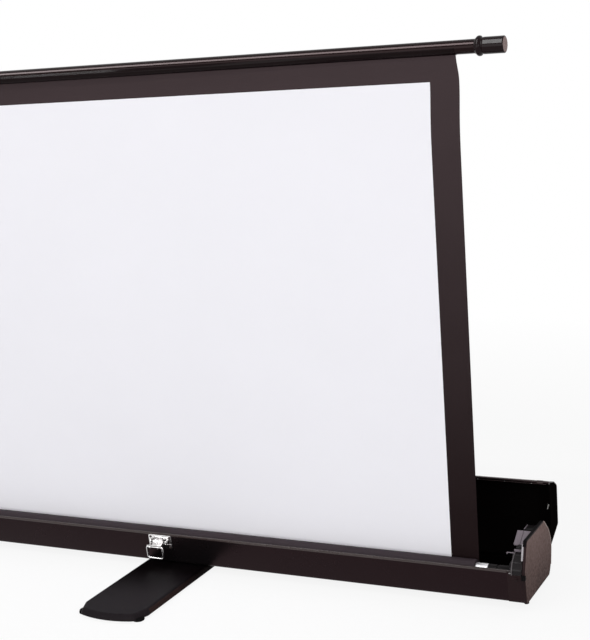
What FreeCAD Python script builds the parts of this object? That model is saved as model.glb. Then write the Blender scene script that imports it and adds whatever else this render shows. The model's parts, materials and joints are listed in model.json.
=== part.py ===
import FreeCAD, Part
import os
import re
import Sketcher
from FreeCAD import Placement, Rotation, Vector

# Floor-rising projection screen, raised, with its lid open.
# Millimetres. X runs along the case to the viewer's right, Y to the back, Z up from the floor.
# The origin is on the floor under the foot's pivot.

doc = FreeCAD.newDocument("floor_rising_screen")
sheet = doc.addObject("Spreadsheet::Sheet", "Sizes")

sizes = {
    # swivel foot
    "foot_half_width": 75, "foot_corner_reach": 330, "foot_bow": 20, "foot_sheet": 2.5,
    "foot_floor_gap": 3, "foot_height": 13, "foot_pad_radius": 10, "foot_pad_inset": 14,
    "washer_radius": 28, "washer_thickness": 1, "bolt_radius": 6, "bolt_head_radius": 11,
    "bolt_head_height": 4, "nut_radius": 11, "nut_height": 6,
    # clearances
    "slip": 0.05, "turning_gap": 0.3, "layer_gap": 0.5,
    # case
    "case_sheet": 2, "front_bottom_reach": 72, "front_top_reach": 80, "front_wall_height": 64,
    "ledge_width": 5, "back_bottom_reach": 78, "back_top_reach": 86, "back_wall_height": 27,
    # end caps
    "cap_thickness": 6, "flange_sheet": 2, "flange_length": 30, "cap_front_reach": 61,
    "cap_height": 120, "cap_back_reach": 55, "cap_shoulder_bulge": 2, "cap_shoulder_height": 90,
    "cap_back_bulge": 14, "cap_back_height": 57, "cap_heel_bulge": 6, "cap_heel_height": 13,
    "case_pad_radius": 8, "case_pad_height": 4, "case_pad_reach": 62,
    "cap_screw_radius": 3.5, "cap_screw_head": 2, "cap_screw_rise": 50, "cap_screw_inset": 12,
    # lid, standing open
    "hinge_offset": 4, "hinge_rise": 4, "lid_sheet": 2, "lid_end_gap": 1.5, "lid_root_gap": 6,
    "lid_back_reach": 88, "lid_back_rise": 40, "lid_panel_height": 84, "lid_brow_forward": 18,
    "lid_brow_rise": 15, "lid_lip_forward": 38, "lid_lip_rise": 8, "rim_sheet": 3, "rim_depth": 42,
    "rim_front_inset": 7.5, "rim_front_drop": 18, "rim_back_drop": 7.5, "rim_low_rise": 18,
    "rim_root_reach": 24, "rim_root_rise": 24,
    "lid_screw_radius": 2.5, "lid_screw_head": 1.5, "lid_screw_inset": 22, "lid_screw_rise": 36,
    "lid_screw_step": 6.5, "lid_screw_drop": 7.5,
    "hinge_pin_radius": 1.8, "knuckle_wall": 2.2, "knuckle_length": 18, "knuckle_gap": 0.5,
    "hinge_spacing": 520,
    # roller
    "roll_radius": 16.5, "roller_radius": 11, "roller_wall": 1.5, "roller_bare_end": 24.5,
    "plug_length": 43, "plug_depth": 30, "journal_wall": 2, "journal_length": 16,
    "roller_reach": 53, "roller_rise": 53, "bracket_half_width": 15, "bracket_thickness": 24,
    "bracket_end_gap": 6.7, "spindle_radius": 3, "spring_wire_radius": 0.8, "spring_pitch": 12,
    "spring_length": 360, "spring_end_gap": 30,
    # rests for the lowered bar
    "rest_thickness": 22, "rest_front_reach": 14, "rest_back_reach": 18, "rest_rise": 90,
    "rest_block_front_height": 3, "rest_block_back_height": 22, "rest_block_length": 31,
    "rest_block_setback": 2, "rest_end_gap": 5,
    # screen fabric and bar
    "fabric_half_width": 665.5, "fabric_thickness": 0.4, "bar_rise": 1035.5, "bar_low_rise": 101,
    "bar_radius": 13, "bar_wall": 1.5, "bar_end_gap": 7, "collar_radius": 18.3,
    "collar_length": 11, "grip_radius": 15.4, "grip_length": 41, "grip_depth": 30,
    # folding arms
    "arm_angle": 59.5, "arm_half_width": 11, "arm_thickness": 8, "arm_setback": 22,
    "pivot_spread": 30, "pivot_rise": 31, "pivot_radius": 4, "pivot_head_overhang": 3,
    "pivot_head": 1.5, "yoke_drop": 40, "yoke_margin": 15, "yoke_overlap": 6,
    "base_margin": 18, "base_plate": 8, "base_flange": 4, "base_flange_depth": 24,
    # latch on the front wall
    "latch_offset": 29, "latch_half_width": 28, "latch_top_gap": 2.5, "latch_height": 31,
    "latch_sheet": 1.5, "ear_spread": 19, "ear_sheet": 2, "ear_reach": 9, "ear_radius": 4,
    "latch_pin_radius": 1.5, "latch_pivot_rise": 19, "lever_sheet": 2.5, "lever_length": 24,
    "lever_half_width": 16, "bail_reach": 20, "bail_wire_radius": 1.6, "bail_half_width": 19,
    "bail_length": 26, "lug_spread": 10, "lug_length": 4, "lug_wall": 1.5,
    "latch_screw_radius": 2.2, "latch_screw_head": 1.2, "latch_screw_inset": 5,
    "catch_half_width": 16, "catch_depth": 10, "catch_height": 3, "catch_hook": 4,
}

derived = {
    # foot, from the floor up
    "foot_end_reach": "foot_corner_reach + foot_bow",
    "foot_end_radius": "(foot_half_width^2 + foot_bow^2) / (2 * foot_bow)",
    "foot_end_centre": "foot_end_reach - foot_end_radius",
    "foot_inner_width": "foot_half_width - foot_sheet",
    "foot_inner_end": "foot_end_reach - foot_sheet",
    "foot_inner_corner": "foot_end_centre + sqrt((foot_end_radius - foot_sheet)^2 - foot_inner_width^2)",
    "foot_top_z": "foot_floor_gap + foot_height",
    "foot_under_z": "foot_top_z - foot_sheet",
    # along the case: fabric, roller, plugs, brackets, then the case's end
    "roller_half_length": "fabric_half_width + roller_bare_end",
    "plug_end_x": "roller_half_length + plug_length",
    "bracket_x": "plug_end_x + turning_gap",
    "bracket_end_x": "bracket_x + bracket_thickness",
    "case_half_length": "bracket_end_x + bracket_end_gap",
    "cap_outer_x": "case_half_length + cap_thickness",
    "lid_half_length": "case_half_length - lid_end_gap",
    "rest_outer_x": "case_half_length - rest_end_gap",
    "rest_inner_x": "rest_outer_x - rest_thickness",
    "grip_end_x": "case_half_length - bar_end_gap",
    "collar_end_x": "grip_end_x - grip_length",
    "bar_half_length": "collar_end_x - collar_length",
    "spindle_end_x": "roller_half_length - plug_depth - spring_end_gap - spring_length",
    # case
    "case_bottom_z": "foot_top_z + washer_thickness",
    "case_floor_z": "case_bottom_z + case_sheet",
    "front_bottom_y": "-front_bottom_reach",
    "front_bottom_inner_y": "case_sheet - front_bottom_reach",
    "front_top_y": "-front_top_reach",
    "front_top_inner_y": "case_sheet - front_top_reach",
    "front_top_z": "case_bottom_z + front_wall_height",
    "front_under_z": "front_top_z - case_sheet",
    "ledge_y": "ledge_width - front_top_reach",
    "back_bottom_inner_y": "back_bottom_reach - case_sheet",
    "back_top_inner_y": "back_top_reach - case_sheet",
    "back_top_z": "case_bottom_z + back_wall_height",
    "wall_lean": "atan((front_top_reach - front_bottom_reach) / front_wall_height) / 1 deg",
    # end caps, whose front flange lies along the leaning wall
    "flange_step": "flange_sheet / cos(wall_lean * 1 deg)",
    "cap_bottom_z": "case_bottom_z - flange_sheet",
    "cap_front_bottom_y": "flange_sheet * tan(wall_lean * 1 deg) - front_bottom_reach - flange_step",
    "cap_front_mid_y": "-front_top_reach - flange_step",
    "cap_front_top_y": "-cap_front_reach",
    "cap_top_z": "case_bottom_z + cap_height",
    "cap_shoulder_y": "back_top_reach + cap_shoulder_bulge",
    "cap_shoulder_z": "case_bottom_z + cap_shoulder_height",
    "cap_back_mid_y": "back_top_reach + cap_back_bulge",
    "cap_back_mid_z": "case_bottom_z + cap_back_height",
    "cap_heel_y": "back_top_reach + cap_heel_bulge",
    "cap_heel_z": "case_bottom_z + cap_heel_height",
    "cap_back_bottom_y": "back_bottom_reach + flange_sheet",
    # limits well outside the end caps, for cutting them open
    "clear_front_y": "2 * cap_front_mid_y",
    "clear_back_y": "2 * cap_back_mid_y",
    "clear_top_z": "2 * cap_top_z",
    # hinge and lid
    "hinge_radius": "hinge_pin_radius + knuckle_wall",
    "hinge_half_length": "1.5 * knuckle_length + knuckle_gap",
    "hinge_y": "back_top_reach + hinge_offset",
    "hinge_z": "back_top_z + hinge_rise",
    "back_slope": "atan(lid_back_rise / (lid_back_reach - lid_root_gap)) / 1 deg",
    "brow_slope": "atan(lid_brow_rise / lid_brow_forward) / 1 deg",
    "lip_slope": "atan(lid_lip_rise / lid_lip_forward) / 1 deg",
    "brow_spread": "1 + cos((brow_slope - lip_slope) * 1 deg)",
    "lid_root_y": "hinge_y + lid_root_gap",
    "lid_root_inner_z": "hinge_z + lid_sheet / cos(back_slope * 1 deg)",
    "lid_crease_y": "hinge_y + lid_back_reach",
    "lid_crease_z": "hinge_z + lid_back_rise",
    "lid_crease_inner_y": "lid_crease_y - lid_sheet",
    "lid_crease_inner_z": "lid_crease_z + lid_sheet * tan((45 - back_slope / 2) * 1 deg)",
    "lid_top_z": "lid_crease_z + lid_panel_height",
    "lid_top_inner_z": "lid_top_z - lid_sheet * tan((45 - brow_slope / 2) * 1 deg)",
    "lid_brow_y": "lid_crease_y - lid_brow_forward",
    "lid_brow_z": "lid_top_z + lid_brow_rise",
    "brow_inset": "lid_sheet * (sin(brow_slope * 1 deg) + sin(lip_slope * 1 deg)) / brow_spread",
    "brow_drop": "lid_sheet * (cos(brow_slope * 1 deg) + cos(lip_slope * 1 deg)) / brow_spread",
    "lid_brow_inner_y": "lid_brow_y - brow_inset",
    "lid_brow_inner_z": "lid_brow_z - brow_drop",
    "lid_lip_y": "lid_brow_y - lid_lip_forward",
    "lid_lip_z": "lid_brow_z + lid_lip_rise",
    "lid_lip_inner_z": "lid_lip_z - lid_sheet / cos(lip_slope * 1 deg)",
    "rim_front_y": "lid_lip_y + rim_front_inset",
    "rim_front_z": "lid_lip_z - rim_front_drop",
    "rim_back_y": "lid_crease_y - rim_depth",
    "rim_back_z": "lid_top_z - rim_back_drop",
    "rim_low_z": "lid_crease_z + rim_low_rise",
    "rim_root_y": "lid_root_y + rim_root_reach",
    "rim_root_z": "lid_root_inner_z + rim_root_rise",
    # roller, fabric and bar
    "roller_y": "-roller_reach",
    "roller_z": "case_bottom_z + roller_rise",
    "journal_radius": "spindle_radius + journal_wall",
    "bracket_radius": "-ledge_y - roller_reach - turning_gap",
    "spring_radius": "roller_radius - roller_wall - spring_wire_radius - turning_gap",
    "fabric_y": "roll_radius - roller_reach",
    "bar_z": "case_bottom_z + bar_rise",
    "bar_low_z": "case_bottom_z + bar_low_rise",
    "rest_top_z": "case_bottom_z + rest_rise",
    "rest_arm_z": "roller_z + bracket_radius + turning_gap",
    "rest_block_y": "rest_block_setback - rest_front_reach",
    "rest_block_front_z": "rest_top_z + rest_block_front_height",
    "rest_block_back_z": "rest_top_z + rest_block_back_height",
    "rest_seat_radius": "grip_radius + turning_gap",
    # arms, in layers behind the fabric
    "arm_front_y": "fabric_y + arm_setback",
    "arm_back_y": "arm_front_y + arm_thickness",
    "upper_front_y": "arm_back_y + layer_gap",
    "upper_back_y": "upper_front_y + arm_thickness",
    "base_front_y": "arm_front_y - layer_gap - base_plate",
    "base_half_width": "pivot_spread + base_margin",
    "yoke_half_width": "pivot_spread + yoke_margin",
    "pivot_head_radius": "pivot_radius + pivot_head_overhang",
    "pivot_z": "case_bottom_z + pivot_rise",
    "yoke_pivot_z": "bar_z - yoke_drop",
    "arm_length": "(yoke_pivot_z - pivot_z) / (2 * sin(arm_angle * 1 deg))",
    "knee_x": "pivot_spread + arm_length * cos(arm_angle * 1 deg)",
    "knee_z": "pivot_z + arm_length * sin(arm_angle * 1 deg)",
    # latch, in the front wall's own frame
    "latch_top": "front_wall_height / cos(wall_lean * 1 deg) - latch_top_gap",
    "latch_low": "latch_top - latch_height",
    "latch_pivot_z": "latch_low + latch_pivot_rise",
    "latch_pivot_y": "ear_radius - latch_sheet - ear_reach",
    "bail_y": "latch_pivot_y - bail_reach",
    "bail_z": "latch_pivot_z - lever_sheet / 2 - bail_wire_radius - turning_gap",
}


def fill_sheet():
    cells = [(name, str(value)) for name, value in sizes.items()]
    cells += [(name, "=" + formula) for name, formula in derived.items()]
    for row, (name, text) in enumerate(cells, start=1):
        sheet.set(f"A{row}", name)
        sheet.set(f"B{row}", text)
        sheet.setAlias(f"B{row}", name)
    doc.recompute()


def linked(formula):
    # a formula in the sheet's names, with each name tied to the sheet
    return re.sub(r"[a-z]+(_[a-z]+)+|slip", r"Sizes.\g<0>", str(formula))


def size(name):
    return float(sheet.get(name))


def place(item, position, turn=None):
    item.Placement = Placement(Vector(), turn or Rotation())
    for key, formula in zip("xyz", position):
        item.setExpression(f"Placement.Base.{key}", linked(formula))


def box(name, low, high):
    item = doc.addObject("Part::Box", name)
    for prop, start, end in zip(("Length", "Width", "Height"), low, high):
        item.setExpression(prop, linked(f"({end}) - ({start})"))
    place(item, low)
    return item


turns = {
    "x": Rotation(Vector(0, 1, 0), 90),
    "y": Rotation(Vector(1, 0, 0), -90),
    "z": Rotation(),
}


def rod(name, axis, radius, start, length):
    # a cylinder from start along the named axis
    item = doc.addObject("Part::Cylinder", name)
    item.setExpression("Radius", linked(radius))
    item.setExpression("Height", linked(length))
    place(item, start, turns[axis])
    return item


def fuse(name, items):
    item = doc.addObject("Part::MultiFuse", name)
    item.Shapes = items
    item.Refine = True
    return item


def cut(name, base, tools):
    item = doc.addObject("Part::Cut", name)
    item.Base = base
    item.Tool = tools[0] if len(tools) == 1 else fuse(name + "_tools", tools)
    return item


def group(name, items):
    item = doc.addObject("Part::Compound", name)
    item.Links = items
    return item


def origin_plane(body, role):
    return next(item for item in body.Origin.OriginFeatures if item.Role == role)


def new_sketch(body, role, offset):
    sketch = body.newObject("Sketcher::SketchObject", body.Name + "_sketch")
    sketch.AttachmentSupport = [(origin_plane(body, role), "")]
    sketch.MapMode = "FlatFace"
    sketch.setExpression("AttachmentOffset.Base.z", linked(offset))
    return sketch


def pin_point(sketch, edge, end, names):
    # ties one end of an edge to two cells of the sheet
    for kind, name in zip(("DistanceX", "DistanceY"), names):
        sign = -1 if name.startswith("-") else 1
        value = sign * size(name.lstrip("-"))
        index = sketch.addConstraint(Sketcher.Constraint(kind, edge, end, value))
        sketch.setExpression(f"Constraints[{index}]", linked(name))


def corner(names):
    values = []
    for name in names:
        sign = -1 if name.startswith("-") else 1
        values.append(sign * size(name.lstrip("-")))
    return Vector(values[0], values[1], 0)


def join_ends(sketch, edges):
    for first, second in zip(edges, edges[1:] + edges[:1]):
        sketch.addConstraint(Sketcher.Constraint("Coincident", first, 2, second, 1))


def outline(sketch, points):
    # a closed run of straight edges through points named in the sheet
    corners = [corner(names) for names in points]
    edges = []
    for start, end in zip(corners, corners[1:] + corners[:1]):
        edges.append(sketch.addGeometry(Part.LineSegment(start, end)))
    join_ends(sketch, edges)
    for edge, names in zip(edges, points):
        pin_point(sketch, edge, 1, names)


def pad(body, sketch, length):
    item = body.newObject("PartDesign::Pad", body.Name + "_pad")
    item.Profile = sketch
    item.setExpression("Length", linked(length))
    sketch.Visibility = False
    return item


def profile_along_x(name, points, start, length):
    body = doc.addObject("PartDesign::Body", name)
    sketch = new_sketch(body, "YZ_Plane", start)
    outline(sketch, points)
    pad(body, sketch, length)
    return body


def plate_with_bowed_ends(name, half_width, corner_reach, end_reach, bottom, height):
    body = doc.addObject("PartDesign::Body", name)
    sketch = new_sketch(body, "XY_Plane", bottom)
    names = [
        (half_width, "-" + corner_reach),
        (half_width, corner_reach),
        ("-" + half_width, corner_reach),
        ("-" + half_width, "-" + corner_reach),
    ]
    right_front, right_back, left_back, left_front = [corner(pair) for pair in names]
    back = Vector(0, size(end_reach), 0)
    edges = [
        sketch.addGeometry(Part.LineSegment(right_front, right_back)),
        sketch.addGeometry(Part.Arc(right_back, back, left_back)),
        sketch.addGeometry(Part.LineSegment(left_back, left_front)),
        sketch.addGeometry(Part.Arc(left_front, -back, right_front)),
    ]
    join_ends(sketch, edges)
    for edge, end, pair in zip((0, 0, 2, 2), (1, 2, 1, 2), names):
        pin_point(sketch, edges[edge], end, pair)
    bow = f"({end_reach} - {corner_reach})"
    radius = f"({half_width}^2 + {bow}^2) / (2 * {bow})"
    for edge in (edges[1], edges[3]):
        index = sketch.addConstraint(Sketcher.Constraint("Radius", edge, sketch.Geometry[edge].Radius))
        sketch.setExpression(f"Constraints[{index}]", linked(radius))
    pad(body, sketch, height)
    return body


sides = {"left": -1, "right": 1}


def side_box(name, side, near, far, low, high):
    # a box from near to far along X on one side, with its Y and Z limits
    start = near if side > 0 else f"-({far})"
    end = far if side > 0 else f"-({near})"
    return box(name, (start, low[0], low[1]), (end, high[0], high[1]))


def side_rod(name, side, radius, near, far, y, z):
    start = near if side > 0 else f"-({far})"
    return rod(name, "x", radius, (start, y, z), f"({far}) - ({near})")


def make_foot():
    outer = plate_with_bowed_ends(
        "foot_outer", "foot_half_width", "foot_corner_reach", "foot_end_reach",
        "foot_floor_gap", "foot_height",
    )
    inner = plate_with_bowed_ends(
        "foot_inner", "foot_inner_width", "foot_inner_corner", "foot_inner_end",
        "0", "foot_under_z",
    )
    hole = rod("foot_hole", "z", "bolt_radius + slip", (0, 0, 0), "case_bottom_z")
    cut("foot_plate", outer, [inner, hole])
    pads = []
    for x_sign in (-1, 1):
        for y_sign in (-1, 1):
            x = f"{x_sign} * (foot_half_width - foot_pad_inset)"
            y = f"{y_sign} * (foot_corner_reach - foot_pad_inset)"
            pads.append(rod("foot_pad", "z", "foot_pad_radius", (x, y, 0), "foot_under_z"))
    group("foot_pads", pads)


def make_foot_pivot():
    disc = rod("washer_disc", "z", "washer_radius", (0, 0, "foot_top_z"), "washer_thickness")
    hole = rod("washer_hole", "z", "bolt_radius", (0, 0, 0), "case_bottom_z + washer_thickness")
    cut("foot_washer", disc, [hole])
    head_z = "foot_under_z - turning_gap - bolt_head_height"
    head = rod("bolt_head", "z", "bolt_head_radius", (0, 0, head_z), "bolt_head_height")
    shank = rod("bolt_shank", "z", "bolt_radius", (0, 0, head_z), f"case_floor_z + nut_height - ({head_z})")
    fuse("foot_pivot_bolt", [head, shank])
    nut = rod("nut_blank", "z", "nut_radius", (0, 0, "case_floor_z"), "nut_height")
    thread = rod("nut_bore", "z", "bolt_radius", (0, 0, "case_floor_z"), "nut_height")
    cut("foot_pivot_nut", nut, [thread])


def make_case_trough():
    points = [
        ("front_bottom_y", "case_bottom_z"),
        ("front_top_y", "front_top_z"),
        ("ledge_y", "front_top_z"),
        ("ledge_y", "front_under_z"),
        ("front_top_inner_y", "front_under_z"),
        ("front_bottom_inner_y", "case_floor_z"),
        ("back_bottom_inner_y", "case_floor_z"),
        ("back_top_inner_y", "back_top_z"),
        ("back_top_reach", "back_top_z"),
        ("back_bottom_reach", "case_bottom_z"),
    ]
    body = profile_along_x("trough_profile", points, "-case_half_length", "2 * case_half_length")
    hole = rod("trough_hole", "z", "bolt_radius", (0, 0, "foot_top_z"), "case_floor_z")
    cut("case_trough", body, [hole])


def make_end_cap(label, side):
    face = [
        ("cap_front_bottom_y", "cap_bottom_z"),
        ("cap_front_mid_y", "front_top_z"),
        ("cap_front_top_y", "cap_top_z"),
        ("cap_back_reach", "cap_top_z"),
        ("cap_shoulder_y", "cap_shoulder_z"),
        ("cap_back_mid_y", "cap_back_mid_z"),
        ("cap_heel_y", "cap_heel_z"),
        ("cap_back_bottom_y", "cap_bottom_z"),
    ]
    hollow = [
        ("front_bottom_y", "case_bottom_z"),
        ("front_top_y", "front_top_z"),
        ("clear_front_y", "front_top_z"),
        ("clear_front_y", "clear_top_z"),
        ("clear_back_y", "clear_top_z"),
        ("clear_back_y", "back_top_z"),
        ("back_top_reach", "back_top_z"),
        ("back_bottom_reach", "case_bottom_z"),
    ]
    depth = "cap_thickness + flange_length"
    start = "case_half_length - flange_length" if side > 0 else "-cap_outer_x"
    hollow_start = start if side > 0 else "-case_half_length"
    block = profile_along_x(f"{label}_cap_block", face, start, depth)
    inside = profile_along_x(f"{label}_cap_inside", hollow, hollow_start, "flange_length")
    cut(f"{label}_end_cap", block, [inside])


def lean_on_front_wall(item):
    # stands a piece drawn at the origin against the leaning front wall
    place(item, (0, "front_bottom_y", "case_bottom_z"), Rotation(Vector(1, 0, 0), size("wall_lean")))
    item.setExpression("Placement.Rotation.Angle", linked("wall_lean"))


def make_cap_screws():
    heads = []
    for side in sides.values():
        x = f"{side} * (case_half_length - cap_screw_inset)"
        start = (x, "-flange_sheet - cap_screw_head", "cap_screw_rise")
        heads.append(rod("cap_screw", "y", "cap_screw_radius", start, "cap_screw_head"))
    lean_on_front_wall(group("cap_screws", heads))


def make_case_pads():
    pads = []
    for side in sides.values():
        for y_sign in (-1, 1):
            x = f"{side} * (case_half_length - case_pad_radius)"
            start = (x, f"{y_sign} * case_pad_reach", "cap_bottom_z - case_pad_height")
            pads.append(rod("case_pad", "z", "case_pad_radius", start, "case_pad_height"))
    group("case_pads", pads)


def make_lid():
    points = [
        ("lid_root_y", "hinge_z"),
        ("lid_crease_y", "lid_crease_z"),
        ("lid_crease_y", "lid_top_z"),
        ("lid_brow_y", "lid_brow_z"),
        ("lid_lip_y", "lid_lip_z"),
        ("lid_lip_y", "lid_lip_inner_z"),
        ("lid_brow_inner_y", "lid_brow_inner_z"),
        ("lid_crease_inner_y", "lid_top_inner_z"),
        ("lid_crease_inner_y", "lid_crease_inner_z"),
        ("lid_root_y", "lid_root_inner_z"),
    ]
    profile_along_x("lid_panel", points, "-lid_half_length", "2 * lid_half_length")
    rim = [
        ("lid_root_y", "lid_root_inner_z"),
        ("lid_crease_inner_y", "lid_crease_inner_z"),
        ("lid_crease_inner_y", "lid_top_inner_z"),
        ("lid_brow_inner_y", "lid_brow_inner_z"),
        ("lid_lip_y", "lid_lip_inner_z"),
        ("rim_front_y", "rim_front_z"),
        ("rim_back_y", "rim_back_z"),
        ("rim_back_y", "rim_low_z"),
        ("rim_root_y", "rim_root_z"),
    ]
    for label, side in sides.items():
        start = "lid_half_length - rim_sheet" if side > 0 else "-lid_half_length"
        profile_along_x(f"{label}_lid_end", rim, start, "rim_sheet")


def make_lid_screws():
    heads = []
    for side in sides.values():
        for step in (0, 1):
            x = f"{side} * (lid_half_length - lid_screw_inset + {step} * lid_screw_step)"
            z = f"lid_crease_z + lid_screw_rise - {step} * lid_screw_drop"
            start = (x, "lid_crease_inner_y - lid_screw_head", z)
            heads.append(rod("lid_screw", "y", "lid_screw_radius", start, "lid_screw_head"))
    group("lid_screws", heads)


def make_hinges():
    case_leaves = []
    lid_leaves = []
    pins = []
    for step in (-1, 0, 1):
        centre = f"{step} * hinge_spacing"
        for side in sides.values():
            middle = f"{centre} + {side} * (knuckle_length + knuckle_gap)"
            case_leaves.append(make_knuckle("case_knuckle", middle, "hinge_pin_radius", case_web))
        lid_leaves.append(make_knuckle("lid_knuckle", centre, "hinge_pin_radius + slip", lid_web))
        start = (f"{centre} - hinge_half_length", "hinge_y", "hinge_z")
        pins.append(rod("hinge_pin", "x", "hinge_pin_radius", start, "2 * hinge_half_length"))
    group("hinge_case_leaves", case_leaves)
    group("hinge_lid_leaves", lid_leaves)
    group("hinge_pins", pins)


def case_web(low, high):
    return box("case_web", (low, "back_top_inner_y", "back_top_z"), (high, "hinge_y", "hinge_z"))


def lid_web(low, high):
    return box("lid_web", (low, "hinge_y", "hinge_z"), (high, "lid_root_y", "lid_root_inner_z"))


def make_knuckle(name, middle, bore_radius, web):
    low = f"({middle}) - knuckle_length / 2"
    high = f"({middle}) + knuckle_length / 2"
    barrel = rod(name + "_barrel", "x", "hinge_radius", (low, "hinge_y", "hinge_z"), "knuckle_length")
    solid = fuse(name + "_solid", [barrel, web(low, high)])
    bore = rod(name + "_bore", "x", bore_radius, (low, "hinge_y", "hinge_z"), "knuckle_length")
    return cut(name, solid, [bore])


def roller_rod(name, side, radius, near, far):
    return side_rod(name, side, radius, near, far, "roller_y", "roller_z")


def make_roller():
    start = ("-roller_half_length", "roller_y", "roller_z")
    length = "2 * roller_half_length"
    outside = rod("roller_outside", "x", "roller_radius", start, length)
    inside = rod("roller_inside", "x", "roller_radius - roller_wall", start, length)
    cut("roller_tube", outside, [inside])
    start = ("-fabric_half_width", "roller_y", "roller_z")
    length = "2 * fabric_half_width"
    roll = rod("roll_outside", "x", "roll_radius", start, length)
    core = rod("roll_core", "x", "roller_radius", start, length)
    cut("wound_fabric", roll, [core])


def make_roller_plugs():
    tail_x = "roller_half_length - plug_depth"
    journal_x = "plug_end_x + journal_length"
    for label, side in sides.items():
        body = roller_rod("plug_body", side, "roller_radius", "roller_half_length", "plug_end_x")
        tail = roller_rod("plug_tail", side, "roller_radius - roller_wall", tail_x, "roller_half_length")
        journal = roller_rod("plug_journal", side, "journal_radius", "plug_end_x", journal_x)
        bore = roller_rod("plug_bore", side, "spindle_radius + slip", tail_x, journal_x)
        cut(f"{label}_roller_plug", fuse("plug_solid", [body, tail, journal]), [bore])


def make_roller_spring():
    # the spring is wound round a spindle that the right bracket holds still
    roller_rod("spring_spindle", 1, "spindle_radius", "spindle_end_x", "bracket_end_x")
    coil = doc.addObject("Part::Helix", "spring_path")
    coil.setExpression("Pitch", linked("spring_pitch"))
    coil.setExpression("Height", linked("spring_length"))
    coil.setExpression("Radius", linked("spring_radius"))
    wire = doc.addObject("Part::Circle", "spring_wire")
    wire.setExpression("Radius", linked("spring_wire_radius"))
    place(wire, ("spring_radius", 0, 0), Rotation(Vector(1, 0, 0), 90))
    spring = doc.addObject("Part::Sweep", "roller_spring")
    spring.Sections = [wire]
    spring.Spine = (coil, ["Edge1"])
    spring.Solid = True
    spring.Frenet = True
    place(spring, ("spindle_end_x", "roller_y", "roller_z"), turns["x"])


def make_roller_brackets():
    socket_x = "plug_end_x + journal_length + turning_gap"
    low = ("roller_y - bracket_half_width", "case_floor_z")
    high = ("roller_y + bracket_half_width", "roller_z")
    for label, side in sides.items():
        disc = roller_rod("bracket_disc", side, "bracket_radius", "bracket_x", "bracket_end_x")
        foot = side_box("bracket_foot", side, "bracket_x", "bracket_end_x", low, high)
        socket = roller_rod("bracket_socket", side, "journal_radius + slip", "bracket_x", socket_x)
        hole = roller_rod("bracket_hole", side, "spindle_radius", "bracket_x", "bracket_end_x")
        cut(f"{label}_roller_bracket", fuse("bracket_solid", [disc, foot]), [socket, hole])


def make_bar_rests():
    post_low = ("-rest_front_reach", "case_floor_z")
    post_high = ("rest_back_reach", "rest_top_z")
    arm_low = ("fabric_y - grip_radius", "rest_arm_z")
    arm_high = ("-rest_front_reach", "bar_low_z - grip_radius / 2")
    block = [
        ("rest_block_y", "rest_top_z"),
        ("rest_block_y", "rest_block_front_z"),
        ("rest_back_reach", "rest_block_back_z"),
        ("rest_back_reach", "rest_top_z"),
    ]
    ends = ("rest_inner_x", "rest_outer_x")
    for label, side in sides.items():
        post = side_box("rest_post", side, *ends, post_low, post_high)
        arm = side_box("rest_arm", side, *ends, arm_low, arm_high)
        seat = side_rod("rest_seat", side, "rest_seat_radius", *ends, "fabric_y", "bar_low_z")
        cut(f"{label}_bar_rest", fuse("rest_solid", [post, arm]), [seat])
        block_x = "rest_outer_x - rest_block_length" if side > 0 else "-rest_outer_x"
        profile_along_x(f"{label}_rest_block", block, block_x, "rest_block_length")


def bar_rod(name, side, radius, near, far):
    return side_rod(name, side, radius, near, far, "fabric_y", "bar_z")


def make_screen():
    low = ("-fabric_half_width", "fabric_y", "roller_z")
    high = ("fabric_half_width", "fabric_y + fabric_thickness", "bar_z - bar_radius")
    box("screen_fabric", low, high)
    start = ("-bar_half_length", "fabric_y", "bar_z")
    length = "2 * bar_half_length"
    outside = rod("bar_outside", "x", "bar_radius", start, length)
    inside = rod("bar_inside", "x", "bar_radius - bar_wall", start, length)
    cut("top_bar", outside, [inside])
    tail_x = "bar_half_length - grip_depth"
    for label, side in sides.items():
        tail = bar_rod("grip_tail", side, "bar_radius - bar_wall", tail_x, "bar_half_length")
        collar = bar_rod("grip_collar", side, "collar_radius", "bar_half_length", "collar_end_x")
        grip = bar_rod("grip_body", side, "grip_radius", "collar_end_x", "grip_end_x")
        fuse(f"{label}_bar_grip", [tail, collar, grip])


def make_arm(name, front, back, start_hole, end_hole):
    # an arm lying along X from its first pivot, turned into place afterwards
    pieces = [box(name + "_web", (0, front, "-arm_half_width"), ("arm_length", back, "arm_half_width"))]
    holes = []
    for x, radius in ((0, start_hole), ("arm_length", end_hole)):
        pieces.append(rod(name + "_eye", "y", "arm_half_width", (x, front, 0), f"{back} - ({front})"))
        holes.append(rod(name + "_hole", "y", radius, (x, front, 0), f"{back} - ({front})"))
    return cut(name, fuse(name + "_solid", pieces), holes)


def turn_about_y(item, x, z, angle):
    place(item, (x, 0, z), Rotation(Vector(0, 1, 0), 45))
    item.setExpression("Placement.Rotation.Angle", linked(angle))


def make_arms():
    loose = "pivot_radius + slip"
    for label, side in sides.items():
        outward = "-arm_angle" if side > 0 else "180 + arm_angle"
        inward = "180 + arm_angle" if side > 0 else "-arm_angle"
        lower = make_arm(f"{label}_lower_arm", "arm_front_y", "arm_back_y", loose, "pivot_radius")
        turn_about_y(lower, f"{side} * pivot_spread", "pivot_z", outward)
        upper = make_arm(f"{label}_upper_arm", "upper_front_y", "upper_back_y", loose, loose)
        turn_about_y(upper, f"{side} * knee_x", "knee_z", inward)
        knee = (f"{side} * knee_x", "knee_z")
        make_pivot(f"{label}_knee_pin", *knee, "arm_front_y", "upper_back_y + layer_gap")


def make_pivot(name, x, z, front, head_y):
    shank = rod(name + "_shank", "y", "pivot_radius", (x, front, z), f"{head_y} + pivot_head - ({front})")
    head = rod(name + "_head", "y", "pivot_head_radius", (x, head_y, z), "pivot_head")
    return fuse(name, [shank, head])


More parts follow.
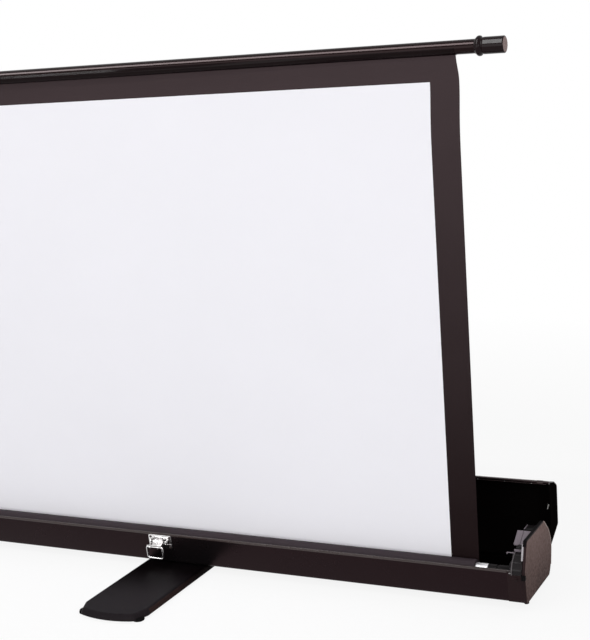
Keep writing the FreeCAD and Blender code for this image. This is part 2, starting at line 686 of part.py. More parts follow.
def make_arm_base():
    low = ("-base_half_width", "base_front_y", "case_floor_z")
    high = ("base_half_width", "base_front_y + base_plate", "pivot_z + arm_half_width")
    plate = box("base_upright", low, high)
    high = ("base_half_width", "base_front_y + base_flange_depth", "case_floor_z + base_flange")
    flange = box("base_foot", low, high)
    clear = rod("base_clear", "z", "nut_radius", (0, 0, "case_floor_z"), "base_flange")
    holes = [clear]
    pins = []
    for side in sides.values():
        x = f"{side} * pivot_spread"
        holes.append(rod("base_hole", "y", "pivot_radius", (x, "base_front_y", "pivot_z"), "base_plate"))
        pins.append(make_pivot("base_pin", x, "pivot_z", "base_front_y", "arm_back_y + turning_gap"))
    cut("arm_base_bracket", fuse("base_solid", [plate, flange]), holes)
    group("base_pins", pins)


def make_yoke():
    # hangs below the bar at its middle and carries the upper arms
    low = ("-yoke_half_width", "arm_front_y", "yoke_pivot_z - arm_half_width")
    high = ("yoke_half_width", "arm_back_y", "bar_z + yoke_overlap")
    plate = box("yoke_plate", low, high)
    low = ("-yoke_half_width", "fabric_y + fabric_thickness + turning_gap", "bar_z - bar_radius")
    high = ("yoke_half_width", "arm_front_y", "bar_z + yoke_overlap")
    saddle = box("yoke_saddle", low, high)
    start = ("-yoke_half_width", "fabric_y", "bar_z")
    holes = [rod("yoke_bore", "x", "bar_radius", start, "2 * yoke_half_width")]
    pins = []
    for side in sides.values():
        x = f"{side} * pivot_spread"
        start = (x, "arm_front_y", "yoke_pivot_z")
        holes.append(rod("yoke_hole", "y", "pivot_radius", start, "arm_thickness"))
        pins.append(make_pivot("yoke_pin", x, "yoke_pivot_z", "arm_front_y", "upper_back_y + layer_gap"))
    cut("bar_yoke", fuse("yoke_solid", [plate, saddle]), holes)
    group("yoke_pins", pins)


def make_latch_plate():
    left = "-latch_offset - latch_half_width"
    right = "latch_half_width - latch_offset"
    pieces = [box("latch_back", (left, "-latch_sheet", "latch_low"), (right, 0, "latch_top"))]
    holes = []
    for side in sides.values():
        low = f"-latch_offset + {side} * ear_spread - ear_sheet / 2"
        axis = (low, "latch_pivot_y", "latch_pivot_z")
        pieces.append(rod("latch_ear_end", "x", "ear_radius", axis, "ear_sheet"))
        pieces.append(box(
            "latch_ear", (low, "latch_pivot_y", "latch_pivot_z - ear_radius"),
            (f"{low} + ear_sheet", "-latch_sheet", "latch_pivot_z + ear_radius"),
        ))
        holes.append(rod("latch_ear_hole", "x", "latch_pin_radius", axis, "ear_sheet"))
    plate = cut("latch_plate", fuse("latch_plate_solid", pieces), holes)
    lean_on_front_wall(plate)


def make_latch_screws():
    heads = []
    for side in sides.values():
        for z in ("latch_low + latch_screw_inset", "latch_top - latch_screw_inset"):
            x = f"-latch_offset + {side} * (latch_half_width - latch_screw_inset)"
            start = (x, "-latch_sheet - latch_screw_head", z)
            heads.append(rod("latch_screw", "y", "latch_screw_radius", start, "latch_screw_head"))
    lean_on_front_wall(group("latch_screws", heads))


def make_latch_pin():
    length = "2 * ear_spread + 2 * ear_sheet"
    start = (f"-latch_offset - ({length}) / 2", "latch_pivot_y", "latch_pivot_z")
    pin = rod("latch_pin_rod", "x", "latch_pin_radius", start, length)
    lean_on_front_wall(group("latch_pin", [pin]))


def make_lever():
    # swung open, it stands out from the wall, and the bail hangs in two lugs under its end
    low = "-latch_offset - lever_half_width"
    high = "lever_half_width - latch_offset"
    start = (low, "latch_pivot_y", "latch_pivot_z")
    barrel = rod("lever_barrel", "x", "ear_radius", start, "2 * lever_half_width")
    blade = box(
        "lever_blade", (low, "latch_pivot_y - lever_length", "latch_pivot_z - lever_sheet / 2"),
        (high, "latch_pivot_y", "latch_pivot_z + lever_sheet / 2"),
    )
    holes = [rod("lever_bore", "x", "latch_pin_radius + slip", start, "2 * lever_half_width")]
    pieces = [barrel, blade]
    for side in sides.values():
        start = (f"-latch_offset + {side} * lug_spread - lug_length / 2", "bail_y", "bail_z")
        pieces.append(rod("lever_lug", "x", "bail_wire_radius + lug_wall", start, "lug_length"))
        holes.append(rod("lever_lug_hole", "x", "bail_wire_radius + slip", start, "lug_length"))
    lean_on_front_wall(cut("latch_lever", fuse("lever_solid", pieces), holes))


def make_bail():
    # a wire loop: two legs, a lower cross wire and an upper wire under the lever's blade
    low_z = "bail_z - bail_length"
    pieces = []
    for side in sides.values():
        x = f"-latch_offset + {side} * bail_half_width"
        pieces.append(rod("bail_leg", "z", "bail_wire_radius", (x, "bail_y", low_z), "bail_length"))
    for z in ("bail_z", low_z):
        start = ("-latch_offset - bail_half_width", "bail_y", z)
        pieces.append(rod("bail_wire", "x", "bail_wire_radius", start, "2 * bail_half_width"))
        for side in sides.values():
            ball = doc.addObject("Part::Sphere", "bail_corner")
            ball.setExpression("Radius", linked("bail_wire_radius"))
            place(ball, (f"-latch_offset + {side} * bail_half_width", "bail_y", z))
            pieces.append(ball)
    lean_on_front_wall(fuse("latch_bail", pieces))


def make_catch():
    # the hook on the lid's lip that the bail pulls on
    low = ("-catch_half_width - latch_offset", 0, 0)
    high = ("catch_half_width - latch_offset", "catch_depth", "catch_height")
    plate = box("catch_plate", low, high)
    low = ("-catch_half_width - latch_offset", "catch_depth - catch_height", 0)
    high = ("catch_half_width - latch_offset", "catch_depth", "catch_height + catch_hook")
    hook = box("catch_hook_bar", low, high)
    catch = fuse("lid_catch", [plate, hook])
    place(catch, (0, "lid_lip_y", "lid_lip_z"), Rotation(Vector(1, 0, 0), -size("lip_slope")))
    catch.setExpression("Placement.Rotation.Angle", linked("lip_slope"))


nodes = [
    "case_trough", "left_end_cap", "right_end_cap", "cap_screws", "case_pads",
    "lid_panel", "left_lid_end", "right_lid_end", "lid_screws", "lid_catch",
    "hinge_case_leaves", "hinge_lid_leaves", "hinge_pins",
    "foot_plate", "foot_pads", "foot_washer", "foot_pivot_bolt", "foot_pivot_nut",
    "roller_tube", "wound_fabric", "left_roller_plug", "right_roller_plug",
    "left_roller_bracket", "right_roller_bracket", "spring_spindle", "roller_spring",
    "left_bar_rest", "right_bar_rest", "left_rest_block", "right_rest_block",
    "screen_fabric", "top_bar", "left_bar_grip", "right_bar_grip", "bar_yoke", "yoke_pins",
    "left_lower_arm", "right_lower_arm", "left_upper_arm", "right_upper_arm",
    "left_knee_pin", "right_knee_pin", "arm_base_bracket", "base_pins",
    "latch_plate", "latch_screws", "latch_pin", "latch_lever", "latch_bail",
]


def build():
    fill_sheet()
    make_foot()
    make_foot_pivot()
    make_case_trough()
    for label, side in sides.items():
        make_end_cap(label, side)
    make_cap_screws()
    make_case_pads()
    make_lid()
    make_lid_screws()
    make_hinges()
    make_catch()
    make_roller()
    make_roller_plugs()
    make_roller_spring()
    make_roller_brackets()
    make_bar_rests()
    make_screen()
    make_arms()
    make_arm_base()
    make_yoke()
    make_latch_plate()
    make_latch_screws()
    make_latch_pin()
    make_lever()
    make_bail()
    doc.recompute()


def check_and_write():
    for item in doc.Objects:
        if "Invalid" in item.State or "Error" in item.State:
            raise RuntimeError(f"{item.Label} did not build: {item.State}")
    os.makedirs("parts", exist_ok=True)
    for name in nodes:
        item = doc.getObject(name)
        item.Label = name
        if item.Shape.isNull() or not item.Shape.isValid():
            raise RuntimeError(f"{name} is not a sound solid")
        item.Shape.exportStep(f"parts/{name}.step")
        print(name, round(item.Shape.Volume), item.Shape.BoundBox)


build()
check_and_write()
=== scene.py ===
import json
import bmesh
import bpy
import numpy as np
from math import cos, radians, sin
from mathutils import Matrix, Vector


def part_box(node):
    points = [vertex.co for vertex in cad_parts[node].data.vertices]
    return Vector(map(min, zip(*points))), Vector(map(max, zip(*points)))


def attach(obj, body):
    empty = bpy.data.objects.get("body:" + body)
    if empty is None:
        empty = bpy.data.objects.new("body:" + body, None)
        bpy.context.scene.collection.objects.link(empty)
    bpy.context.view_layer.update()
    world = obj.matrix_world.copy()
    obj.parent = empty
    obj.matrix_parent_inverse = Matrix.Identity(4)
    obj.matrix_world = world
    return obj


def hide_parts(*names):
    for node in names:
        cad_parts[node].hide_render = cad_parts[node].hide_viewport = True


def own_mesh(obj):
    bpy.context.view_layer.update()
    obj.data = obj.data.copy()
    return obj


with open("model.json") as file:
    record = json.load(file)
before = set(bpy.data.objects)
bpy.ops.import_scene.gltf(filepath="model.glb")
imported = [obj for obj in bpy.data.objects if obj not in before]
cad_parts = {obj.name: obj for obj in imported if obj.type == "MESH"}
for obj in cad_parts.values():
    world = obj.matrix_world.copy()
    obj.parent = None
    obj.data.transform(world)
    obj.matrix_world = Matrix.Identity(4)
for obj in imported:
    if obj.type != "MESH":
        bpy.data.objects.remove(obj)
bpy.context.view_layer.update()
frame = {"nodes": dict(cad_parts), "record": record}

nodes = frame["nodes"]
sides = {"left": -1, "right": 1}
bothSides = (-1, 1)
print("frame loaded:", len(nodes), "nodes")

# lengths are millimetres up to putPiece, which turns them into metres
milli = 0.001
xAxis, yAxis, zAxis = np.eye(3)
offAxis = (0.31, 0.52, 0.79)  # along none of the axes, for a circle to start from
fullTurn = 2 * np.pi


def boxOf(node):
    low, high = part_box(node)
    return np.array(low) * 1000, np.array(high) * 1000


def unit(v):
    return v / np.maximum(np.linalg.norm(v, axis=-1, keepdims=True), 1e-12)


# quads over a grid of points (rows, columns, 3); a closed direction joins its last line to its first
def gridPart(points, closedRows=False, closedColumns=False):
    rows, columns = points.shape[:2]
    r = np.arange(rows if closedRows else rows - 1)
    c = np.arange(columns if closedColumns else columns - 1)
    r, c = (a.ravel() for a in np.meshgrid(r, c, indexing="ij"))
    r2, c2 = (r + 1) % rows, (c + 1) % columns
    quads = [r * columns + c, r2 * columns + c, r2 * columns + c2, r * columns + c2]
    return points.reshape(-1, 3), np.stack(quads, 1).tolist()


def rectangle(low, high):
    return [(low[0], low[1]), (high[0], low[1]), (high[0], high[1]), (low[0], high[1])]


# straight lines from corner to corner, with an arc of the given radius at each corner
def roundedRun(corners, radii, closed=False, steps=6):
    corners = np.asarray(corners, float)
    run = []
    for i, (p, r) in enumerate(zip(corners, np.broadcast_to(radii, len(corners)))):
        if r <= 0 or not closed and i in (0, len(corners) - 1):
            run.append(p[None])
            continue
        a, b = unit(corners[i - 1] - p), unit(corners[(i + 1) % len(corners)] - p)
        half = np.arccos(np.clip(a @ b, -1, 1)) / 2
        centre = p + unit(a + b) * r / np.sin(half)
        start, end = (p + d * r / np.tan(half) - centre for d in (a, b))
        sweep = np.arctan2(start[0] * end[1] - start[1] * end[0], start @ end)
        angle = np.arctan2(start[1], start[0]) + np.linspace(0, sweep, steps + 1)
        run.append(centre + r * np.stack([np.cos(angle), np.sin(angle)], 1))
    return np.concatenate(run)


def arcRun(centre, radius, fromAngle, toAngle, steps):
    angle = np.radians(np.linspace(fromAngle, toAngle, steps + 1))
    return np.asarray(centre) + radius * np.stack([np.cos(angle), np.sin(angle)], 1)


# each point of a run moved to its left by a distance, mitred at the corners up to twice the distance
def sideStep(run, distance, closed=False):
    ahead = unit(np.roll(run, -1, 0) - run)
    behind = np.roll(ahead, 1, 0)
    if not closed:
        ahead[-1], behind[0] = ahead[-2], ahead[0]
    middle = unit(ahead + behind)
    normal = np.stack([-middle[:, 1], middle[:, 0]], 1)
    reach = np.maximum((middle * ahead).sum(1, keepdims=True), 0.5)
    return run + normal * distance / reach


# a bent sheet: a run in Y and Z and its copy one thickness to the left, carried along X and closed all round
def bentSheet(run, thickness, xs):
    inner = sideStep(run, thickness)
    loop = np.concatenate([run, inner[::-1]])
    xs = np.asarray(xs, float)
    points = np.concatenate([
        np.broadcast_to(xs[:, None, None], (len(xs), len(loop), 1)),
        np.broadcast_to(loop, (len(xs), len(loop), 2)),
    ], 2)
    parts = [gridPart(points, closedColumns=True)]
    strip = np.stack([run, inner], 1)
    for x in xs[[0, -1]]:
        parts.append(gridPart(np.concatenate([np.full(strip.shape[:2] + (1,), x), strip], 2)))
    return parts


# a bent sheet near one end of the object, its reach along X measured towards that side
def endSheet(side, run, thickness, reach):
    return bentSheet(run, thickness, side * np.array(reach))


# directions square to an axis, at angles round it
def spokesAbout(axis, angle):
    side = unit(np.cross(axis, offAxis))
    return np.cos(angle)[..., None] * side + np.sin(angle)[..., None] * np.cross(axis, side)


# a profile of (distance along an axis, radius) turned round the axis through a point;
# shave(angle in Y and Z) scales each spoke
def turned(profile, point, axis, steps, shave=None):
    axis = unit(np.asarray(axis, float))
    along, radius = np.asarray(profile, float).T
    spokes = spokesAbout(axis, np.linspace(0, fullTurn, steps, endpoint=False))
    if shave:
        spokes = spokes * shave(np.degrees(np.arctan2(spokes[:, 2], spokes[:, 1])) % 360)[:, None]
    points = np.asarray(point) + along[:, None, None] * axis + radius[:, None, None] * spokes
    return gridPart(points, closedColumns=True)


def shifted(profile, start):
    return [(start + along, radius) for along, radius in profile]


# a plate from an outline in (u, v): each level is the outline stepped in by an inset at a height,
# closed by flat faces
def plate(outline, levels, origin, u, v, h):
    count = len(outline)
    rings = [np.c_[sideStep(outline, inset, True), np.full(count, height)] for inset, height in levels]
    points = np.asarray(origin) + np.stack(rings) @ np.stack([u, v, h])
    points, quads = gridPart(points, closedColumns=True)
    return points, quads + [list(range(count))[::-1], list(range(len(points) - count, len(points)))]


# a plate drawn in Y and Z, its heights along X towards one side
def endPlate(side, outline, levels):
    return [plate(outline, levels, (0, 0, 0), yAxis, zAxis, side * xAxis)]


# a plate drawn in X and Z, its heights along Y
def frontPlate(side, outline, levels):
    return [plate(outline, levels, (0, 0, 0), side * xAxis, zAxis, yAxis)]


# from one height to another with softened edges
def plateLevels(low, high, edge=0.6):
    soft = edge * 0.3
    return [(edge, low), (soft, low + soft), (0, low + edge),
            (0, high - edge), (soft, high - soft), (edge, high)]


# a round wire: a circle square to a closed flat run at each of its points
def wireAlong(run, normal, radius, steps):
    tangent = unit(np.roll(run, -1, 0) - np.roll(run, 1, 0))
    angle = np.linspace(0, fullTurn, steps, endpoint=False)[:, None]
    across = np.cross(tangent, normal)[:, None]
    points = run[:, None] + radius * (np.cos(angle) * normal + np.sin(angle) * across)
    return gridPart(points, closedRows=True, closedColumns=True)


# lengths are shares of the head's radius, depths are shares of its height
screwHead = {
    "rings": 15, "spokes": 56, "turn": 0.4, "fall": 0.55, "depth": 0.6,
    "slotHalf": 0.17, "slotFade": 0.06, "slotReach": 0.68, "reachFade": 0.1,
}


# a screw head: height falls with the square of the distance from its middle, less a cross-shaped recess
def crossHead(point, axis, radius, height):
    h = screwHead
    axis = unit(np.asarray(axis, float))
    r = np.linspace(0, 1, h["rings"])[:, None]
    angle = np.linspace(0, fullTurn, h["spokes"], endpoint=False)[None]
    fromSlot = np.minimum(np.abs(np.sin(angle - h["turn"])), np.abs(np.cos(angle - h["turn"]))) * r
    recess = h["depth"] * np.clip((h["slotHalf"] - fromSlot) / h["slotFade"], 0, 1)
    recess = recess * np.clip((h["slotReach"] - r) / h["reachFade"], 0, 1)
    rise = height * (1 - h["fall"] * r * r - recess)
    skirt = radius * spokesAbout(axis, angle)
    top = rise[..., None] * axis + r[..., None] * skirt
    return gridPart(np.asarray(point) + np.concatenate([top, skirt, skirt * 0]), closedColumns=True)


def addObject(name, data):
    thing = bpy.data.objects.new(name, data)
    bpy.context.scene.collection.objects.link(thing)
    return thing


finishes = {}
mending = {"merge": 2e-6, "sliver": 1e-7, "sharpAngle": 40}  # metres, metres, degrees


# joins parts into one closed mesh in metres, with doubles merged and faces turned outwards
def putPiece(name, parts, body, slotName, finish, *replaced):
    points, faces, start = [], [], 0
    for partPoints, partFaces in parts:
        points.append(partPoints)
        faces += [[i + start for i in face] for face in partFaces]
        start += len(partPoints)
    mesh = bpy.data.meshes.new(name)
    mesh.from_pydata(np.concatenate(points) * milli, [], faces)
    shell = bmesh.new()
    shell.from_mesh(mesh)
    bmesh.ops.remove_doubles(shell, verts=shell.verts, dist=mending["merge"])
    bmesh.ops.dissolve_degenerate(shell, edges=shell.edges, dist=mending["sliver"])
    bmesh.ops.recalc_face_normals(shell, faces=shell.faces)
    shell.to_mesh(mesh)
    shell.free()
    mesh.polygons.foreach_set("use_smooth", np.ones(len(mesh.polygons), bool))
    mesh.set_sharp_from_angle(angle=radians(mending["sharpAngle"]))
    mesh.materials.append(finishes[finish])
    piece = addObject(name, mesh)
    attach(piece, body)
    if replaced:
        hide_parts(*replaced)


# a colour as it looks on a screen, 0 to 255, made linear
def tone(colour):
    c = np.array(colour) / 255
    return (*np.where(c <= 0.04045, c / 12.92, ((c + 0.055) / 1.055) ** 2.4).tolist(), 1)


# a sum's two methods: with the wire before the sign, and after it
def sumOf(operation):
    return (lambda wire, other: wire.work(operation, wire, other),
            lambda wire, other: wire.work(operation, other, wire))


class Wire:
    # a socket in a material's nodes; sums on wires add Math nodes
    __add__, __radd__ = sumOf("ADD")
    __sub__, __rsub__ = sumOf("SUBTRACT")
    __mul__, __rmul__ = sumOf("MULTIPLY")

    def __init__(self, tree, socket=None):
        self.tree, self.socket = tree, socket

    def add(self, kind, settings=None, values=None, out=0):
        node = self.tree.nodes.new("ShaderNode" + kind)
        for key, value in (settings or {}).items():
            setattr(node, key, value)
        for key, value in (values or {}).items():
            if isinstance(value, Wire):
                self.tree.links.new(value.socket, node.inputs[key])
            else:
                node.inputs[key].default_value = value
        return Wire(self.tree, node.outputs[out])

    def work(self, operation, *terms):
        return self.add("Math", {"operation": operation}, dict(enumerate(terms)))

    def __lt__(self, other):
        return self.work("LESS_THAN", self, other)

    def __abs__(self):
        return self.work("ABSOLUTE", self)

    def sine(self):
        return self.work("SINE", self)

    # where the surface is, in metres
    def here(self):
        return self.add("TexCoord", out="Object")

    # one of X, Y and Z of this place
    def part(self, letter):
        return self.add("SeparateXYZ", None, {0: self}, letter)

    # this value as a mask between two colours, each a wire or a tone
    def mixed(self, *colours):
        first, second = (c if isinstance(c, Wire) else tone(c) for c in colours)
        return self.add("Mix", {"data_type": "RGBA"}, {0: self, 6: first, 7: second}, 2)

    # noise at a scale in features per metre, read at this place
    def noise(self, scale, detail=2, roughness=0.5):
        values = {"Vector": self, "Scale": scale, "Detail": detail, "Roughness": roughness}
        return self.add("TexNoise", None, values)

    # this place stretched along each axis
    def stretched(self, scale):
        return self.add("Mapping", {"vector_type": "TEXTURE"}, {"Vector": self, "Scale": scale})

    def spread(self, low, high, toLow, toHigh):
        values = {"Value": self, "From Min": low, "From Max": high, "To Min": toLow, "To Max": toHigh}
        return self.add("MapRange", None, values)

    def bump(self, strength, distance):
        return self.add("Bump", None, {"Strength": strength, "Distance": distance, "Height": self})


# a kind of finish: surface(wire, dark tone, light tone, roughness, more) gives a material's colour,
# roughness and normal; gloss and tint are the strength and colour of its reflection
def finishKind(surface):
    def newFinish(name, dark, light, rough, gloss=0.5, tint=(1, 1, 1, 1), metallic=0, **more):
        material = bpy.data.materials.new(name)
        material.use_nodes = True
        tree = material.node_tree
        inputs = tree.nodes["Principled BSDF"].inputs
        inputs["Specular IOR Level"].default_value = gloss
        inputs["Specular Tint"].default_value = tint
        inputs["Metallic"].default_value = metallic
        wires = surface(Wire(tree), dark, light, rough, **more)
        for key, wire in zip(("Base Color", "Roughness", "Normal"), wires):
            tree.links.new(wire.socket, inputs[key])
        finishes[name] = material
    return newFinish


# powder-coated sheet: slow cloudy tone, fine speckle and an orange-peel bump; shadeByCase is how much painted shade
# darkens it within 0.1 m of Y = 0, under the case, and pales its far ends
@finishKind
def powderCoat(wire, dark, light, rough, shadeByCase=0):
    place = wire.here()
    cloud, speck, peel = place.noise(7, 4), place.noise(2600), place.noise(420, 3)
    dust = place.noise(38, 5, 0.7).spread(0.62, 0.85, 0, 0.35)
    # painted shade: darker near Y = 0 where the case stands over the foot, paler towards the foot's far ends
    ends = abs(place.part("Y")).spread(0.1, 0.24, -0.8, 0.25)
    colour = (cloud * 0.7 + speck * 0.3 + dust + ends * shadeByCase).mixed(dark, light)
    return colour, rough + (cloud - 0.5) * 0.16 + dust * 0.2, (peel + speck * 0.4).bump(0.25, 0.0004)


# moulded plastic: spark-eroded grain with slight flow marks; paintedTopLight is how much painted light pales it with
# height, mottled how blotchy it is
@finishKind
def mouldedPlastic(wire, dark, light, rough, grain=1500, depth=0.35, paintedTopLight=0, mottled=0):
    place = wire.here()
    # painted light: height runs from -0.5 at 15 mm up to 0.5 at 137 mm, paling the top
    height = place.part("Z").spread(0.015, 0.137, -0.5, 0.5)
    pits = place.add("TexVoronoi", {"feature": "F1"}, {"Vector": place, "Scale": grain})
    flow = place.stretched((0.6, 1, 1.6)).noise(16, 5, 0.6)
    fine, blotch = place.noise(900), place.noise(170, 4, 0.6) - 0.5
    colour = (flow * 0.55 + fine * 0.45 + height * paintedTopLight + blotch * mottled).mixed(dark, light)
    return colour, rough + (flow - 0.5) * 0.2 + (fine - 0.5) * 0.1, (pits + fine).bump(depth, 0.0003)


# metal drawn or brushed one way: long streaks along the grain and a few scuffs
@finishKind
def brushedMetal(wire, dark, light, rough, grain, depth):
    place = wire.here()
    streak = place.stretched(grain).noise(1100, 3, 0.6)
    scuff = place.noise(60, 5, 0.7).spread(0.55, 0.8, 0, 1)
    colour = (streak * 0.6 + scuff * 0.3).mixed(light, dark)
    return colour, rough + (streak - 0.5) * 0.14 + scuff * 0.12, streak.bump(depth, 0.0002)


# enamelled tube: near-black gloss with faint draw lines and fingermarks
@finishKind
def glossEnamel(wire, dark, light, rough):
    place = wire.here()
    lines = place.stretched((60, 1, 1)).noise(700)
    marks = place.noise(24, 5, 0.65).spread(0.5, 0.8, 0, 1)
    colour = (lines * 0.6 + marks * 0.4).mixed(dark, light)
    return colour, rough + marks * 0.05 + (lines - 0.5) * 0.02, place.noise(260).bump(0.05, 0.0003)


# soft rubber: dull, slightly mottled, with a pitted skin
@finishKind
def rubberSkin(wire, dark, light, rough):
    place = wire.here()
    mottle, pits = place.noise(90, 4), place.noise(1900)
    colour = (mottle * 0.7 + pits * 0.3).mixed(dark, light)
    return colour, rough + mottle * 0.16, pits.bump(0.35, 0.0004)


# name, dark tone, light tone, roughness, gloss
powderCoat("caseCoat", (7, 6, 7), (15, 13, 14), 0.26, 0.19, tint=(1, 0.5, 0.57, 1))
powderCoat("ridgeEdge", (42, 33, 33), (68, 56, 54), 0.26, 0.4)
# a mid-brown tone for trim, and for the lid's pale edge strips as painted highlight
powderCoat("edgeTrim", (44, 34, 35), (76, 64, 64), 0.28, 0.2)
powderCoat("wornEdge", (66, 62, 64), (104, 98, 100), 0.3, 0.2)
powderCoat("lining", (8, 6, 6), (16, 13, 13), 0.85, 0)
powderCoat("footCoat", (5, 3, 4), (40, 35, 38), 0.4, 0.03, shadeByCase=0.7)
powderCoat("footEdge", (14, 9, 9), (58, 44, 42), 0.4, 0.03, shadeByCase=0.7)
powderCoat("armCoat", (38, 34, 35), (66, 61, 62), 0.36, 0.25)
mouldedPlastic("capFace", (63, 47, 44), (128, 108, 104), 0.6, 0.02, grain=620, paintedTopLight=0.75, mottled=1.3)
mouldedPlastic("capRim", (24, 15, 16), (42, 31, 32), 0.38, 0.09, depth=0.15, tint=(1, 0.72, 0.75, 1))
mouldedPlastic("capEdging", (140, 122, 116), (186, 168, 162), 0.4, 0.1, depth=0.1)
mouldedPlastic("gripPlastic", (18, 7, 9), (32, 18, 21), 0.05, 0.1, depth=0.003)
mouldedPlastic("gripEnd", (132, 114, 111), (164, 145, 142), 0.6, 0.05, grain=700)
mouldedPlastic("blackPlastic", (10, 8, 9), (26, 22, 24), 0.3, 0.1, depth=0.1)
mouldedPlastic("housing", (12, 9, 10), (34, 29, 31), 0.26, 0.14, depth=0.05)
mouldedPlastic("restPlate", (104, 95, 102), (146, 136, 144), 0.4, 0.15, grain=900, depth=0.1)
mouldedPlastic("stayPlate", (148, 143, 147), (198, 193, 196), 0.4, 0.15, depth=0.08)
mouldedPlastic("zincPlate", (240, 236, 234), (252, 249, 247), 0.34, 0.3, depth=0.08)
brushedMetal("chrome", (196, 194, 194), (240, 238, 238), 0.12, metallic=1, grain=(6, 1, 1), depth=0.05)
brushedMetal("steel", (120, 118, 118), (190, 188, 188), 0.3, metallic=1, grain=(3, 3, 3), depth=0.12)
brushedMetal("bareTube", (206, 205, 208), (244, 243, 246), 0.38, metallic=1, grain=(20, 1, 1), depth=0.12)
glossEnamel("barEnamel", (15, 4, 5), (26, 10, 11), 0.02, 0.13, tint=(0.95, 0.74, 0.75, 1))
rubberSkin("rubber", (8, 7, 8), (20, 18, 19), 0.72, 0.05)
print("finishes:", len(finishes))

# screen cloth: a flat cut led up from the roll to the bar; it leans forward over the last stretch,
# and its edges flare below the bar and curl back
screen = {
    "halfWidth": 665.5, "low": 57, "high": 1041.5, "front": -36.5, "thickness": 0.4, "thread": 1.1,
    "whiteHalf": 609.6, "whiteTop": 993.4, "seam": 0.004,
    "drop": 934.6,  # the bar's own way down and 0.6 more, room for the cloth's thickness
    "lean": 4, "leanFrom": 1003, "curl": 1.6, "curlWidth": 7,
    "flare": 3.3, "flareAt": 992, "flareOver": (28, 60),  # how far it reaches up, and down
    "ripple": 0.35, "rippleWaves": ((9.0, 2.2), (2.1, -5.0)),
    "setBack": 0.3, "setBackFrom": 880,  # clears the roll when lowered
    "columns": 180, "rows": 144, "borderRows": 16,
}
screen["length"] = screen["high"] - screen["low"]


# face cloth: matt white up to the border, black outside it, with a plain weave read from the cloth's own map; the
# black border is painted lighter towards the top, as painted light from above
@finishKind
def screenCloth(wire, white, shade, rough, border, borderPaintedLit):
    place = wire.add("UVMap", {"uv_map": "cloth"})
    across = (place.part("X") - 0.5) * (2 * screen["halfWidth"] * milli)
    along = place.part("Y") * (screen["length"] * milli)
    whiteHigh = screen["whiteTop"] - screen["low"]
    inside = (abs(across) < screen["whiteHalf"] * milli) * (along < whiteHigh * milli)
    turnsPerMetre = fullTurn / (screen["thread"] * milli)
    weave = (across * turnsPerMetre).sine() * (along * turnsPerMetre).sine()
    cloud, fibre = place.noise(6, 4), place.noise(700)
    # painted light: the border goes from its dark tone low down to its lighter tone near the top
    pale = along * 0.98 - 0.1 + (cloud - 0.5) * 0.2 + (fibre - 0.5) * 0.25
    bright = (cloud * 0.5 + fibre * 0.3).mixed(white, shade)
    colour = inside.mixed(pale.mixed(border, borderPaintedLit), bright)
    rough = rough + (fibre - 0.5) * 0.1 - (1 - inside) * 0.2
    return colour, rough, (weave + fibre * 0.6).bump(0.12, 0.0003)


# black coated cloth: close weave under a dull film
@finishKind
def blackCloth(wire, dark, light, rough):
    place = wire.here()
    cloud, fibre = place.noise(9, 4), place.stretched((3, 1, 1)).noise(1500)
    colour = (cloud * 0.6 + fibre * 0.4).mixed(dark, light)
    return colour, rough + (fibre - 0.5) * 0.16, fibre.bump(0.2, 0.0003)


screenCloth("screenFace", (245, 244, 249), (238, 237, 242), 0.86, 0.06, border=(27, 17, 18), borderPaintedLit=(68, 57, 59))
blackCloth("screenBack", (20, 15, 16), (38, 31, 33), 0.7, 0.12)
blackCloth("rollCloth", (44, 36, 40), (66, 57, 62), 0.6, 0.12)
blackCloth("pocketCloth", (13, 5, 6), (26, 15, 16), 0.08, 0.06)


